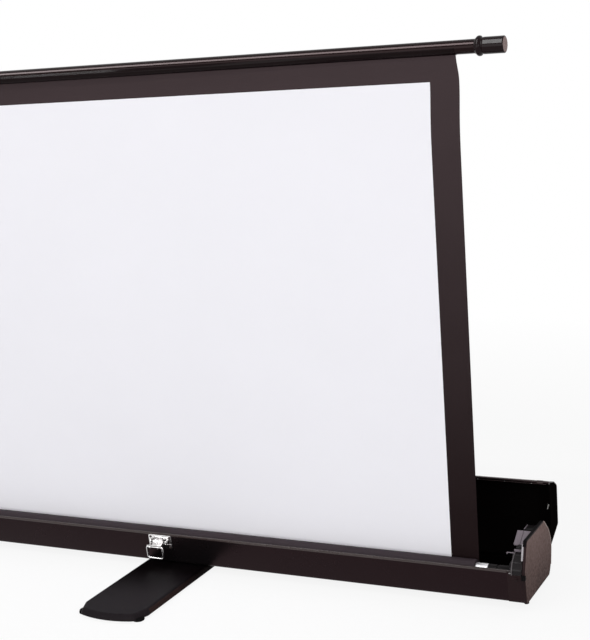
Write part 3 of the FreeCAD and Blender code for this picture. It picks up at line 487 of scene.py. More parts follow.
# across runs -1 to 1, along 0 to 1; the edges flare by a bell curve below the bar, the lean is a smooth step,
# and the ripple is a sine times a cosine that dies out at both ends
def clothPiece(name, fromZ, toZ, rows):
    s = screen
    across = np.linspace(-1, 1, s["columns"])[None] * np.ones((rows, 1))
    z = np.linspace(fromZ, toZ, rows)[:, None] * np.ones((1, s["columns"]))
    along = (z - s["low"]) / s["length"]
    flare = s["flare"] * np.exp(-((z - s["flareAt"]) / np.where(z > s["flareAt"], *s["flareOver"])) ** 2)
    x = across * (s["halfWidth"] + flare)
    near = np.clip((z - s["leanFrom"]) / (s["high"] - s["leanFrom"]), 0, 1)
    fromEdge = np.clip(1 - (1 - np.abs(across)) * s["halfWidth"] / s["curlWidth"], 0, 1)
    held = np.sin(np.pi * np.clip(along, 0, 1)) ** 0.5
    y = s["front"] - s["lean"] * near * near * (3 - 2 * near) + s["curl"] * fromEdge ** 2 * held
    first, second = (p * across + q * along for p, q in s["rippleWaves"])
    y = y + s["ripple"] * held * np.sin(first) * np.cos(second)
    y = y + s["setBack"] * np.clip((z - s["setBackFrom"]) / (s["whiteTop"] - s["setBackFrom"]), 0, 1)
    points, quads = gridPart(np.stack([x, y, z], 2))
    mesh = bpy.data.meshes.new(name)
    mesh.from_pydata(points * milli, [], [face[::-1] for face in quads])
    corner = np.empty(len(mesh.loops), int)
    mesh.loops.foreach_get("vertex_index", corner)
    flat = np.stack([(across.ravel() + 1) / 2, along.ravel()], 1)
    mesh.uv_layers.new(name="cloth").data.foreach_set("uv", flat[corner].ravel())
    mesh.polygons.foreach_set("use_smooth", np.ones(len(mesh.polygons), bool))
    # the cut edges stay sharp
    ends = np.empty(len(mesh.edges) * 2, int)
    mesh.edges.foreach_get("vertices", ends)
    row, column = divmod(ends.reshape(-1, 2), s["columns"])
    rim = (row == 0).all(1) | (row == rows - 1).all(1)
    rim |= (column == 0).all(1) | (column == s["columns"] - 1).all(1)
    mesh.attributes.new("sharp_edge", "BOOLEAN", "EDGE").data.foreach_set("value", rim)
    mesh.materials.append(finishes["screenFace"])
    mesh.materials.append(finishes["screenBack"])
    cloth = addObject(name, mesh)
    wall = cloth.modifiers.new("thickness", "SOLIDIFY")
    wall.thickness, wall.offset = s["thickness"] * milli, -1
    wall.material_offset, wall.material_offset_rim = 1, 1
    return cloth


def makeScreen():
    s = screen
    cloth = clothPiece("screenCloth", s["low"], s["whiteTop"], s["rows"])
    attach(cloth, "case")
    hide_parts("screen_fabric")
    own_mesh(cloth)
    border = clothPiece("topBorder", s["whiteTop"] + s["seam"], s["high"], s["borderRows"])
    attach(border, "bar")


makeScreen()
print("screen cloth hung")

# top bar: a drawn tube with a lock seam down its back and a flat along its front, a cloth pocket under it,
# and a collared grip on each end; profiles are (distance along the bar, radius)
bar = {
    "rounds": 96, "span": (-690, 690, 24), "endSteps": np.array([0, 0.8, 1.6]), "endDrop": 0.6,
    "seamAngle": 322, "seamDepth": 0.7, "seamWidth": 3,
    "flatAngle": 153.1, "flatHalf": 7.5, "flatBreaks": np.array([-1, -0.9, -0.4, 0.4, 0.9, 1]), "flatClear": 0.3,
    "gripFlat": 17, "gripLength": 52, "gripRounds": 160, "discRounds": 72,
    "collar": [(-2.5, 0), (-2.5, 13.3), (-1.4, 14.6), (-0.2, 15.0), (0.8, 16.2), (2.2, 17.6), (4.2, 18.3),
        (6.4, 18.3), (8.3, 17.6), (9.5, 16.4), (10.4, 15.0), (11.0, 14.4), (12.0, 14.4), (12.8, 14.9),
        (13.6, 15.4), (14.6, 15.4)],
    "gripEdge": [(-2.4, 15.4), (-1.6, 15.4), (-0.8, 15.2), (-0.3, 14.8), (0, 14.2), (-0.1, 13.4),
        (-0.5, 13.1), (-0.5, 0)],
    "disc": [(-0.6, 0), (-0.6, 13.2), (0.1, 13.6), (0.5, 13.0), (0.6, 9), (0.6, 2.2), (0.1, 1.6), (0, 0)],
}
barLow, barHigh = boxOf("top_bar")
barAxis = np.array([0, *((barLow + barHigh) / 2)[1:]])
barRadius = (barHigh[2] - barLow[2]) / 2


# a circle cut straight across over an angle to each side of the flat's middle: the chord's distance
# over the cosine of the angle from the middle
def drawnFlat(half):
    def reach(angle):
        fromFlat = np.radians(np.clip(np.abs(angle - bar["flatAngle"]), 0, half))
        return cos(radians(half)) / np.cos(fromFlat)
    return reach


# tube: the cut circle less a bell-shaped groove at the seam, carried along the bar, with its end rings drawn in
def makeTube():
    steps = bar["endSteps"]
    xs = np.concatenate([barLow[0] + steps, np.linspace(*bar["span"]), barHigh[0] - steps[::-1]])
    angle = np.linspace(0, 360, bar["rounds"], endpoint=False)
    angle = angle[np.abs(angle - bar["flatAngle"]) > bar["flatHalf"] + bar["flatClear"]]
    angle = np.sort(np.concatenate([angle, bar["flatAngle"] + bar["flatHalf"] * bar["flatBreaks"]]))
    seam = bar["seamDepth"] * np.exp(-((angle - bar["seamAngle"]) / bar["seamWidth"]) ** 2)
    atEnd = np.abs(xs) > barHigh[0] - steps[1] / 2
    r = (barRadius * drawnFlat(bar["flatHalf"])(angle) - seam)[None] - bar["endDrop"] * atEnd[:, None]
    turn = np.radians(angle)
    points = np.stack([xs[:, None] + 0 * r, r * np.cos(turn), r * np.sin(turn)], 2) + barAxis
    middles = np.stack([np.broadcast_to(barAxis + x * xAxis, (len(angle), 3)) for x in xs[[0, -1]]])
    parts = [gridPart(np.concatenate([middles[:1], points, middles[1:]]), closedColumns=True)]
    putPiece("topBar", parts, "bar", "bar_enamel", "barEnamel", "top_bar")


pocket = {
    "gap": 0.35, "fromAngle": 184, "toAngle": 292, "cloth": 0.45, "columns": 110, "rows": 40,
    "slackFrom": 480, "slackOver": 560, "tightAt": -664, "tightOver": 120,
    "fold": roundedRun([(-13.3, 0.6), (-16.6, -5.9), (-13.2, -12.2), (-5, -14.6), (5, -12.6)],
        [0, 3.2, 4, 5, 0], steps=7),
}


# cloth pocket: an arc hugging the bar's underside, moved towards a hanging fold by how slack the cloth is there
def makePocket():
    p = pocket
    x = np.linspace(-screen["halfWidth"], screen["halfWidth"], p["columns"])
    slack = np.clip((p["slackFrom"] - x) / p["slackOver"], 0, 1)
    slack = slack * np.clip((x - p["tightAt"]) / p["tightOver"], 0, 1)
    reach = np.concatenate([[0], np.cumsum(np.linalg.norm(np.diff(p["fold"], axis=0), axis=1))])
    even = np.linspace(0, reach[-1], p["rows"])
    fold = np.stack([np.interp(even, reach, line) for line in p["fold"].T], 1)
    hug = arcRun((0, 0), barRadius + p["gap"], p["fromAngle"], p["toAngle"], p["rows"] - 1)
    faces = []
    for step in (0, -p["cloth"]):
        tight, loose = sideStep(hug, step), sideStep(fold, step)
        line = tight[None] + slack[:, None, None] * (loose - tight)[None]
        alongX = np.broadcast_to(x[:, None, None], line.shape[:2] + (1,))
        faces.append(np.concatenate([alongX, line + barAxis[1:]], 2))
    parts = [gridPart(np.concatenate([faces[1], faces[0][:, ::-1]], 1), closedColumns=True)]
    parts += [gridPart(np.stack([faces[0][i], faces[1][i]], 1)) for i in (0, -1)]
    putPiece("clothPocket", parts, "bar", "fabric_back", "pocketCloth")


def makeGrips():
    for label, side in sides.items():
        low, high = boxOf(f"{label}_bar_grip")
        end = high[0] if side > 0 else -low[0]
        profile = shifted(bar["collar"], end - bar["gripLength"]) + shifted(bar["gripEdge"], end)
        grip = turned(profile, barAxis, side * xAxis, bar["gripRounds"], drawnFlat(bar["gripFlat"]))
        putPiece(f"{label}BarGrip", [grip], "bar", "black_plastic", "gripPlastic", f"{label}_bar_grip")
        disc = turned(shifted(bar["disc"], end), barAxis, side * xAxis, bar["discRounds"])
        putPiece(f"{label}GripDisc", [disc], "bar", "black_plastic", "gripEnd")


makeTube()
makePocket()
makeGrips()
print("bar made")

# case: one folded sheet with a leaning front wall and a rolled ridge along its front edge; runs are in Y and Z
case = {
    "sheet": 1.6, "hinge": (90, 48), "wallFoot": (-72, 17), "lean": radians(7.125),
    "run": roundedRun([(-75.4, 77.6), (-75.4, 81), (-80, 81), (-72, 17), (78, 17), (86, 44)],
        [0, 1.9, 2.4, 5, 5, 0]),
    "inside": roundedRun([(-79.2, 75), (-72, 17), (78, 17), (86, 43.4)], [0, 5, 5, 0]), "liningGap": 0.05,
    "ridge": np.concatenate([arcRun((-77.7, 80.6), 2.2, 12, 150, 12), [(-80.5, 80.4), (-80.2, 78)]]),
    "coverBreaks": [(-760, -549), (-491, -29), (29, 491), (549, 760)],
    "capScrew": (752, 50, 1.9), "capScrewSize": (3.5, 1.4),  # along X, up the wall, out from it
    "trimScrew": (740, -79.9, 78.6), "trimScrewOut": (0, -0.94, 0.34), "trimScrewSize": (2.3, 1.6),
    "padRounds": 40, "pad": [(0, 0), (0, 4.2), (0.5, 4.8), (1.2, 5), (3.2, 5), (4, 4.6), (4.9, 0)],
    "padsAt": [(763.5, -57, 11), (757, 60, 11)],
}
# lid: a folded sheet with a curled lip, closed at each end by a pressed cheek
lid = {
    "run": [(96, 48), (178, 88), (178, 170), (158, 183.4), (122, 194), (118.6, 192.2), (120.6, 189.2), (127, 188.2)],
    "bends": [0, 5, 9, 12, 1.8, 1.6, 1.2, 0], "lined": 5, "liningGap": 1.55,  # lined: corners up to the lip
    # pale strips along the lip, a painted highlight: an arc, a thickness and a reach along X for each
    "lipHighlights": [(arcRun((122.4, 192), 2.6, 60, 190, 10), 0.7, (-762, 762)),
        (arcRun((121.6, 190.2), 2.4, 196, 262, 6), 0.6, (-757, 757))],
    "endHighlight": plateLevels(761.4, 763, 0.25),
    "beadRounds": 8, "bead": [(0, 0), (0, 0.9), (0.4, 0.75), (0.7, 0.35), (0.8, 0)],
    "beadsAt": (118.8, 189.6), "beadsOut": (0, -0.9, -0.4), "beadsAlong": np.arange(-728, 729, 56),
    "cheek": roundedRun([(96, 50.4), (175.9, 89.4), (175.9, 169), (157, 181.4), (122.6, 191.6), (129.5, 177),
        (136, 164.5), (136, 106), (120, 74.2)], [1, 5, 8, 10, 2, 6, 10, 12, 10], True),
    "cheekLevels": plateLevels(759.4, 762.2),
    "keepers": [(744, 122.4, 1.2), (751, 121.4, 1.8)],  # place across, height, half width
    "keeperHalfHigh": 5, "keeperSlant": 1.5, "keeperThick": 1.2, "keeperEdge": 0.3, "keeperBend": 0.7,
    "screwSunk": 1.1, "screwHigh": 1.5, "screwWide": 1.15,
    "clip": arcRun((122.6, 191.6), 4, 62, 258, 14), "clipThick": 0.9, "clipReach": (739, 740, 750, 751),
    "hook": roundedRun([(129.6, 200.2), (132.6, 199.4), (131.4, 192.4), (121, 194.9)], [0, 1.2, 1.6, 0]),
    "hookThick": 1.4, "hookEdge": 1,
}
lidRun = roundedRun(lid["run"], lid["bends"])
lidInside = roundedRun(lid["run"][:lid["lined"]], lid["bends"][:lid["lined"]])

# long folded sheets: run, thickness, stretches along X, body, slot, finish, replaced node
longSheets = {
    "caseTrough": (case["run"], case["sheet"], [np.linspace(-763.9, 763.9, 17)],
        "case", "case_paint", "caseCoat", "case_trough"),
    "caseLining": (sideStep(case["inside"], case["sheet"] + case["liningGap"]), 0.4, [np.linspace(-763.5, 763.5, 9)],
        "case", "case_paint", "lining"),
    # a pale strip over the rolled ridge: painted highlight along the case's front edge
    "ridgeHighlightStrip": (case["ridge"], 1, [(-742.5, 742.5)], "case", "case_paint", "ridgeEdge"),
    # arcs about the hinge line: the case's cover is broken at each hinge, the lid's strip lies just outside it
    "hingeCover": (arcRun(case["hinge"], 5.4, 30, 246, 18), 0.5, case["coverBreaks"], "case", "rubber", "lining"),
    "lidRootStrip": (arcRun(case["hinge"], 6.3, -14, 44, 8), 0.5, [(-759, 759)], "lid", "rubber", "lining"),
    "lidPanel": (lidRun, case["sheet"], [np.linspace(-762.5, 762.5, 17)],
        "lid", "case_paint", "caseCoat", "lid_panel"),
    "lidLining": (sideStep(lidInside, lid["liningGap"]), 0.5, [np.linspace(-759.6, 759.6, 9)],
        "lid", "case_paint", "lining"),
}
for name, (run, thickness, stretches, *rest) in longSheets.items():
    putPiece(name, sum((bentSheet(run, thickness, xs) for xs in stretches), []), *rest)

frontUp = np.array([0, -sin(case["lean"]), cos(case["lean"])])
frontOut = np.array([0, -cos(case["lean"]), -sin(case["lean"])])


# a place on the leaning front wall
def onFront(x, high, proud):
    return np.array([x, *case["wallFoot"]]) + high * frontUp + proud * frontOut


def mirrored(places):
    return [np.array(place) * (side, 1, 1) for side in bothSides for place in places]


def makeCaseFittings():
    x, high, proud = case["capScrew"]
    heads = [crossHead(onFront(side * x, high, proud), frontOut, *case["capScrewSize"]) for side in bothSides]
    putPiece("capScrews", heads, "case", "steel", "capRim", "cap_screws")
    places = mirrored([case["trimScrew"]])
    heads = [crossHead(place, case["trimScrewOut"], *case["trimScrewSize"]) for place in places]
    putPiece("trimScrews", heads, "case", "steel", "steel")
    pads = [turned(case["pad"], place, zAxis, case["padRounds"]) for place in mirrored(case["padsAt"])]
    putPiece("casePads", pads, "case", "rubber", "rubber", "case_pads")


def makeLidFittings():
    # pale strips as painted highlight: arcs along the lip's upper and lower front edges, and an edging over each cut
    # end of the sheet
    highlightStrips = sum((bentSheet(*highlightArc) for highlightArc in lid["lipHighlights"]), [])
    profile = np.concatenate([lidRun, sideStep(lidRun, case["sheet"])[::-1]])
    for side in bothSides:
        highlightStrips += endPlate(side, profile, lid["endHighlight"])
    putPiece("lidEdgeHighlight", highlightStrips, "lid", "case_paint", "edgeTrim")
    places = [(x, *lid["beadsAt"]) for x in lid["beadsAlong"]]
    beads = [turned(lid["bead"], place, lid["beadsOut"], lid["beadRounds"]) for place in places]
    putPiece("lipBeads", beads, "lid", "steel", "steel")
    for label, side in sides.items():
        parts = endPlate(side, lid["cheek"], lid["cheekLevels"])
        putPiece(f"{label}LidCheek", parts, "lid", "case_paint", "lining", f"{label}_lid_end")
    # each screw holds a slanted keeper
    wall = boxOf("lid_screws")[1][1]
    high, slant = lid["keeperHalfHigh"], lid["keeperSlant"]
    levels = plateLevels(wall - lid["keeperThick"], wall, lid["keeperEdge"])
    heads = []
    for side in bothSides:
        for x, z, half in lid["keepers"]:
            place = (side * x, wall - lid["screwSunk"], z)
            heads.append(crossHead(place, -yAxis, half * lid["screwWide"], lid["screwHigh"]))
            corners = [(x - half - slant, z - high), (x + half - slant, z - high),
                       (x + half + slant, z + high), (x - half + slant, z + high)]
            heads += frontPlate(side, roundedRun(corners, half * lid["keeperBend"], True, 4), levels)
    # the keepers and screws are near-white: zinc plate, paled further as a painted glint
    putPiece("lidScrews", heads, "lid", "steel", "zincPlate", "lid_screws")
    clips = sum((endSheet(side, lid["clip"], lid["clipThick"], lid["clipReach"]) for side in bothSides), [])
    putPiece("lipClips", clips, "lid", "black_plastic", "edgeTrim")
    low, high = (corner[0] for corner in boxOf("lid_catch"))
    xs = [low, low + lid["hookEdge"], high - lid["hookEdge"], high]
    putPiece("lidCatch", bentSheet(lid["hook"], lid["hookThick"], xs), "lid", "chrome", "chrome", "lid_catch")


makeCaseFittings()
makeLidFittings()
print("case and lid made")

# foot: a pressed plate with flared sides, cut corners and bowed ends, on rubber corner feet
foot = {
    "half": 75, "corner": 306, "cut": (62, 339), "end": 350, "bend": 12, "bowPoints": 13,
    "press": [(3, 3.2), (0.6, 3.2), (0, 4.2), (0.6, 6.5), (2.6, 11.5), (3.8, 13.6), (5.4, 15.2), (7.6, 15.9),
        (11, 16)],
    "sideStrip": roundedRun([(74.2, 3.4), (75.2, 4.2), (74.6, 6.6), (72.6, 11.6), (71.4, 13.7), (70.4, 13.2),
        (71.6, 11), (73.6, 6.2)], 0.2, True, 2),
    "stripShort": 8, "stripEdge": 0.3, "padRounds": 40,
    "pad": [(0, 0), (0, 11), (0.6, 12), (1.6, 12.4), (4.6, 12), (7, 11), (7, 0)], "padAt": (62, 322),
}


# the bowed end is a parabola between the cut corners; the other half of the outline is the first turned round
def makeFoot():
    f = foot
    cutX, cutY = f["cut"]
    bow = np.linspace(cutX, -cutX, f["bowPoints"] + 2)[1:-1]
    arch = f["end"] - (f["end"] - cutY) * (bow / cutX) ** 2
    half = np.array([(f["half"], -f["corner"]), (f["half"], f["corner"]), f["cut"],
                     *np.stack([bow, arch], 1), (-cutX, cutY)])
    bends = [f["bend"]] * 3 + [0] * f["bowPoints"] + [f["bend"]]
    outline = roundedRun(np.concatenate([half, -half]), bends * 2, True)
    pressed = plate(outline, f["press"], (0, 0, 0), xAxis, yAxis, zAxis)
    putPiece("footPlate", [pressed], "foot", "foot_paint", "footCoat", "foot_plate")
    # a paler strip down each flared side, between the cut corners: painted light from the floor's reflection
    reach = f["corner"] - f["stripShort"]
    levels = plateLevels(-reach, reach, f["stripEdge"])
    strips = sum((frontPlate(side, f["sideStrip"], levels) for side in bothSides), [])
    putPiece("footSideLightStrips", strips, "foot", "foot_paint", "footEdge")
    padX, padY = f["padAt"]
    places = [(sx * padX, sy * padY, 0) for sx in bothSides for sy in bothSides]
    pads = [turned(f["pad"], place, zAxis, f["padRounds"]) for place in places]
    putPiece("footPads", pads, "foot", "rubber", "rubber", "foot_pads")


makeFoot()
print("foot made")

# roller: wound cloth with its layers showing at the ends, bare tube and grooved plugs
roller = {
    "core": 11, "layer": 0.9, "layerDepth": 0.5, "layerStep": 0.1, "hubSunk": 0.6, "tubeEdge": 0.4,
    "rim": [(0.3, 0.1), (1, 0)], "layersShort": 0.3,  # rim: in from the end, in from the outside
    "rounds": 64, "plugRounds": 48, "plugFrom": 690,
    "plug": [(-3, 0), (0, 9.4), (0.2, 10.4), (0.8, 11), (17.6, 11), (18, 9.2), (21, 9.2), (21.4, 11), (42.2, 11),
        (42.8, 10.6), (43, 9.8), (43, 5), (58.6, 5), (59, 4.6), (59, 0)],
}
rollLow, rollHigh = boxOf("wound_fabric")
rollAxis = np.array([0, *((rollLow + rollHigh) / 2)[1:]])


# the roll's end face dips by a cosine from layer to layer
def makeRoller():
    outer, core, end = (rollHigh[2] - rollLow[2]) / 2, roller["core"], rollHigh[0]
    layers = np.arange(core, outer - roller["layersShort"], roller["layerStep"])
    dip = roller["layerDepth"] * (0.5 - 0.5 * np.cos(fullTurn * (layers - core) / roller["layer"]))
    half = np.concatenate([[(end - roller["hubSunk"], 0)], np.stack([end - dip, layers], 1),
                           (end, outer) - np.array(roller["rim"])])
    roll = turned(np.concatenate([half * (-1, 1), half[::-1]]), rollAxis, xAxis, roller["rounds"])
    putPiece("woundCloth", [roll], "roller", "fabric_back", "rollCloth", "wound_fabric")
    start, end = (corner[0] for corner in boxOf("roller_tube"))
    edge = roller["tubeEdge"]
    tube = [(start, 0), (start, core - edge), (start + edge, core), (end - edge, core), (end, core - edge), (end, 0)]
    tube = turned(tube, rollAxis, xAxis, roller["rounds"])
    putPiece("rollerTube", [tube], "roller", "bare_aluminium", "bareTube", "roller_tube")
    for label, side in sides.items():
        plug = shifted(roller["plug"], roller["plugFrom"])
        plug = turned(plug, rollAxis, side * xAxis, roller["plugRounds"])
        putPiece(f"{label}RollerPlug", [plug], "roller", "black_plastic", "blackPlastic", f"{label}_roller_plug")


makeRoller()
print("roller made")

# housing over the roller's bracket: its outline and bends, with a paler strip along its front corners as a painted
# highlight
housing = {
    "run": [(-71, 30), (-76, 71), (-76.4, 75), (-82.4, 75), (-82.8, 85), (-75, 98), (-62, 107.6), (-52.8, 109.9),
        (-52.8, 30)],
    "bends": [2, 2, 0.5, 2, 9, 14, 14, 1.5, 2], "worn": slice(3, 8), "highlightIn": 0.2,
}
shell = roundedRun(housing["run"], housing["bends"], True)[::-1]
wornEdge = roundedRun(housing["run"][housing["worn"]], housing["bends"][housing["worn"]])
capOutline = roundedRun([(-73.8, 15), (80, 15), (92, 30), (100, 74), (88, 107), (55, 137), (-61, 137), (-82, 81)],
                        [5, 7, 30, 40, 60, 5, 9, 50], True, 9)
restBlock = roundedRun([(-12, 107), (18, 107), (18, 129), (-12, 110)], [0.8, 1, 1.6, 0.8], True, 4)
seatAt = (-36.5, 118)  # where the lowered bar lies

# what stands at each end of the case, the same on both sides: slot, finish, replaced node,
# then plates as outline and levels, and sheets as run, thickness and reach along X
caseEnd = {
    "CapSeal": ("rubber", "rubber", None,
        (endSheet, roundedRun([(53.5, 137.3), (-61.3, 137.3), (-65.2, 127)], [0, 5, 0]), 2.6, (762.4, 768.2))),
    "EndCap": ("cap_plastic", "capRim", "end_cap",
        (endPlate, capOutline, [(0.9, 764.0), (0, 764.9), (0, 767.8), (0.4, 768.8), (1.2, 769.3)]),
        (endSheet, roundedRun([(-81.2, 81), (-73.1, 16.6), (80, 16.6), (91, 30), (93.5, 44)],
        [0, 5, 7, 10, 0], steps=9), 1.2, (734, 765))),
    "CapFace": ("cap_plastic", "capFace", None,
        (endPlate, capOutline, [(2.2, 768.6), (1.7, 769.2), (1.8, 769.7), (2.4, 770.0), (3.6, 770.1)])),
    # a pale strip along the cap's back and top edges: painted highlight on its bevel
    "CapEdging": ("cap_plastic", "capEdging", None,
        (endSheet, roundedRun([(92.5, 34), (99.6, 74), (87.7, 106.8), (54, 136.8)], [0, 38, 58, 0], steps=9),
        1.8, (769, 770.5))),
    # a pale plate by the housing's right edge: painted reflection of the white surroundings on that edge
    "CapGlint": ("bare_aluminium", "stayPlate", None,
        (endSheet, roundedRun([(-61.8, 131), (-69.4, 111), (-72.2, 101)], [0, 30, 0]), 0.9, (760.4, 764.2))),
    "CapClip": ("rubber", "rubber", None,
        (frontPlate, roundedRun(rectangle((762.5, 66), (770.5, 76)), 1.2, True),
        plateLevels(-83.6, -77.6, 0.8))),
    "CapBoss": ("black_plastic", "blackPlastic", None,
        (endPlate, roundedRun([(27, 19), (58, 19), (58, 120), (50, 128), (27, 127)], [1, 1, 6, 5, 3], True),
        plateLevels(738, 764.5, 1.2))),
    # a pale strip along the boss's top front edge: painted highlight
    "BossEdgeHighlight": ("black_plastic", "restPlate", None,
        (endPlate, roundedRun([(26.4, 126.6), (49, 127.4), (49, 128.6), (26.4, 127.8)], 0.3, True, 2),
        plateLevels(737.5, 739.2, 0.3))),
    "RollerBracket": ("black_plastic", "blackPlastic", "roller_bracket",
        (endPlate, np.concatenate([[(-68, 19), (-38, 19), (-38, 50)],
        arcRun(rollAxis[1:], 21.7, -40, 220, 30), [(-68, 50)]]),
        [(4, 733.3), (1.6, 733.9), (0.4, 735.2), (0, 737.4), (0, 753.2), (0.4, 755.4), (1.6, 756.7),
        (4, 757.3)])),
    "BarRest": ("black_plastic", "blackPlastic", "bar_rest",
        (endPlate, np.concatenate([[(-14, 19), (18, 19), (18, 106.9), (-14, 106.9), (-14.4, 110.3)],
        arcRun(seatAt, 15.7, 330.6, 209.4, 16),
        [(-51.9, 110.3), (-51.9, 92.2), (-14, 92.2)]]),
        plateLevels(737, 759, 0.5))),
    "SeatLiner": ("black_plastic", "restPlate", None,
        (endSheet, arcRun(seatAt, 15.68, 211, 248, 10), 0.08, (738, 758))),
    # a pale lip above the seat: painted glint
    "SeatGlint": ("black_plastic", "restPlate", None,
        (endSheet, arcRun(seatAt, 17, 188, 212, 6), 0.8, (742, 743, 756, 757))),
    "Housing": ("black_plastic", "housing", None,
        (endPlate, shell, [(3, 741.6), (1.6, 741.8), (0.7, 742.3), (0.2, 743.2), (0, 744.2), (0, 761.2),
        (0.2, 762.2), (0.7, 763), (1.6, 763.5), (3, 763.7)])),
    # a paler strip along the housing's front corners: painted highlight
    "HousingEdgeHighlight": ("black_plastic", "wornEdge", None,
        (endSheet, sideStep(wornEdge, housing["highlightIn"]), 0.5, (743, 745))),
    "HousingTab": ("bare_aluminium", "restPlate", None,
        (frontPlate, roundedRun([(744, 109.4), (744, 110.7), (728.4, 110.7), (728.4, 106.8), (730, 106.8),
        (730, 109.4)], 0.4, True, 3), plateLevels(-58.5, -56.5, 0.3))),
    "RestBlock": ("bare_aluminium", "restPlate", "rest_block",
        (endPlate, restBlock, plateLevels(728, 740.4, 0.5)), (endPlate, restBlock, plateLevels(741, 759, 0.5))),
}


def makeCaseEnds():
    for label, side in sides.items():
        for name, (slotName, finish, node, *shapes) in caseEnd.items():
            parts = sum((make(side, *values) for make, *values in shapes), [])
            replaced = [f"{label}_{node}"] if node else []
            putPiece(label + name, parts, "case", slotName, finish, *replaced)


makeCaseEnds()
print("case ends made")

# arms: pressed bars with a sunk channel along each face, turning on domed pins
arm = {
    "half": 11, "endSteps": 20, "pinRounds": 32, "headRounds": 40,
    "press": [(4.6, 0.9), (3.6, 0.5), (2.6, 0.1), (1.4, 0), (0.5, 0.3), (0, 1.1), (0, 6.9), (0.5, 7.7), (1.4, 8),
        (2.6, 7.9), (3.6, 7.5), (4.6, 7.1)],
    "head": [(0, 0), (0, 7), (0.4, 7.3), (0.8, 7.2), (1.5, 6.4), (2.2, 4.6), (2.6, 2.4), (2.7, 0)],
    "headSunk": 1.5, "headRadius": 7, "pinRadius": 4, "pinFrom": 0.2, "pinShort": 1.4,
    "pins": {"left_knee_pin": "left_lower", "right_knee_pin": "right_lower",
        "yoke_pins": "bar", "base_pins": "case"},
}


# each arm is a capsule from its inner end near the middle to its outer end at the knee
def makeArms():
    half = arm["half"]
    turn = [arcRun((0, 0), half, angle, angle + 180, arm["endSteps"]) for angle in (-90, 90)]
    for label, side in sides.items():
        for part in ("lower", "upper"):
            node = f"{label}_{part}_arm"
            low, high = boxOf(node)
            inside, outside = (low[0], high[0]) if side > 0 else (high[0], low[0])
            bottom, top = low[2] + half, high[2] - half
            startZ, endZ = (bottom, top) if part == "lower" else (top, bottom)
            start = np.array([inside + side * half, low[1], startZ])
            end = np.array([outside - side * half, low[1], endZ])
            length = np.linalg.norm(end - start)
            along = (end - start) / length
            capsule = np.concatenate([turn[0] + (length, 0), turn[1]])
            pressed = plate(capsule, arm["press"], start, along, np.cross(yAxis, along), yAxis)
            putPiece(f"{label}{part.title()}Arm", [pressed], f"{label}_{part}", "arm_paint", "armCoat", node)


# a node with two pins has one at each end of its box
def makePins():
    radius = arm["pinRadius"]
    for node, body in arm["pins"].items():
        low, high = boxOf(node)
        middle = (low + high) / 2
        xs = [middle[0]] if "knee" in node else [low[0] + arm["headRadius"], high[0] - arm["headRadius"]]
        start, end = arm["pinFrom"], high[1] - low[1] - arm["pinShort"]
        shank = [(start, 0), (start, radius), (end, radius), (end, 0)]
        parts = []
        for x in xs:
            parts.append(turned(shank, (x, low[1], middle[2]), yAxis, arm["pinRounds"]))
            under = (x, high[1] - arm["headSunk"], middle[2])
            parts.append(turned(arm["head"], under, yAxis, arm["headRounds"]))
        putPiece(node.title().replace("_", ""), parts, body, "steel", "steel", node)


bracket = {
    "thick": 8, "edge": 0.8,
    "yoke": roundedRun(rectangle((-45, 1001.5), (45, 1058.4)), [11, 11, 5, 5], True),
    "saddle": np.concatenate([[(-14.6, 1039.6), (-14.6, 1058.2), (-24.2, 1058.2)],
        arcRun((-36.5, 1052.5), 13.3, 24, -84, 14)]),
    "saddleLevels": plateLevels(-44, 44, 0.5),
    "uprightBends": [0.5, 0.5, 10, 10], "heelBends": [0.3, 0.3, 6, 6],
    "heelIn": 7.9, "heelThick": 4, "heelEdge": 0.6,
}


def bracketLevels(start):
    edge, end = bracket["edge"], start + bracket["thick"]
    return [(edge, start), (0, start + edge), (0, end - edge), (edge, end)]


# yoke: an upright plate with a saddle bored for the bar; base bracket: an upright plate on a heel
def makeBrackets():
    back = boxOf("left_lower_arm")[0][1]
    parts = frontPlate(1, bracket["yoke"], bracketLevels(back))
    parts += endPlate(1, bracket["saddle"], bracket["saddleLevels"])
    putPiece("barYoke", parts, "bar", "arm_paint", "armCoat", "bar_yoke")
    low, high = boxOf("arm_base_bracket")
    upright = roundedRun(rectangle(low[[0, 2]], high[[0, 2]]), bracket["uprightBends"], True)
    heel = rectangle((low[0], low[1] + bracket["heelIn"]), high)
    heel = roundedRun(heel, bracket["heelBends"], True)
    heelLevels = plateLevels(low[2], low[2] + bracket["heelThick"], bracket["heelEdge"])
    parts = frontPlate(1, upright, bracketLevels(low[1]))
    parts.append(plate(heel, heelLevels, (0, 0, 0), xAxis, yAxis, zAxis))
    putPiece("armBaseBracket", parts, "case", "arm_paint", "armCoat", "arm_base_bracket")


makeArms()
makePins()
makeBrackets()
print("arms made")

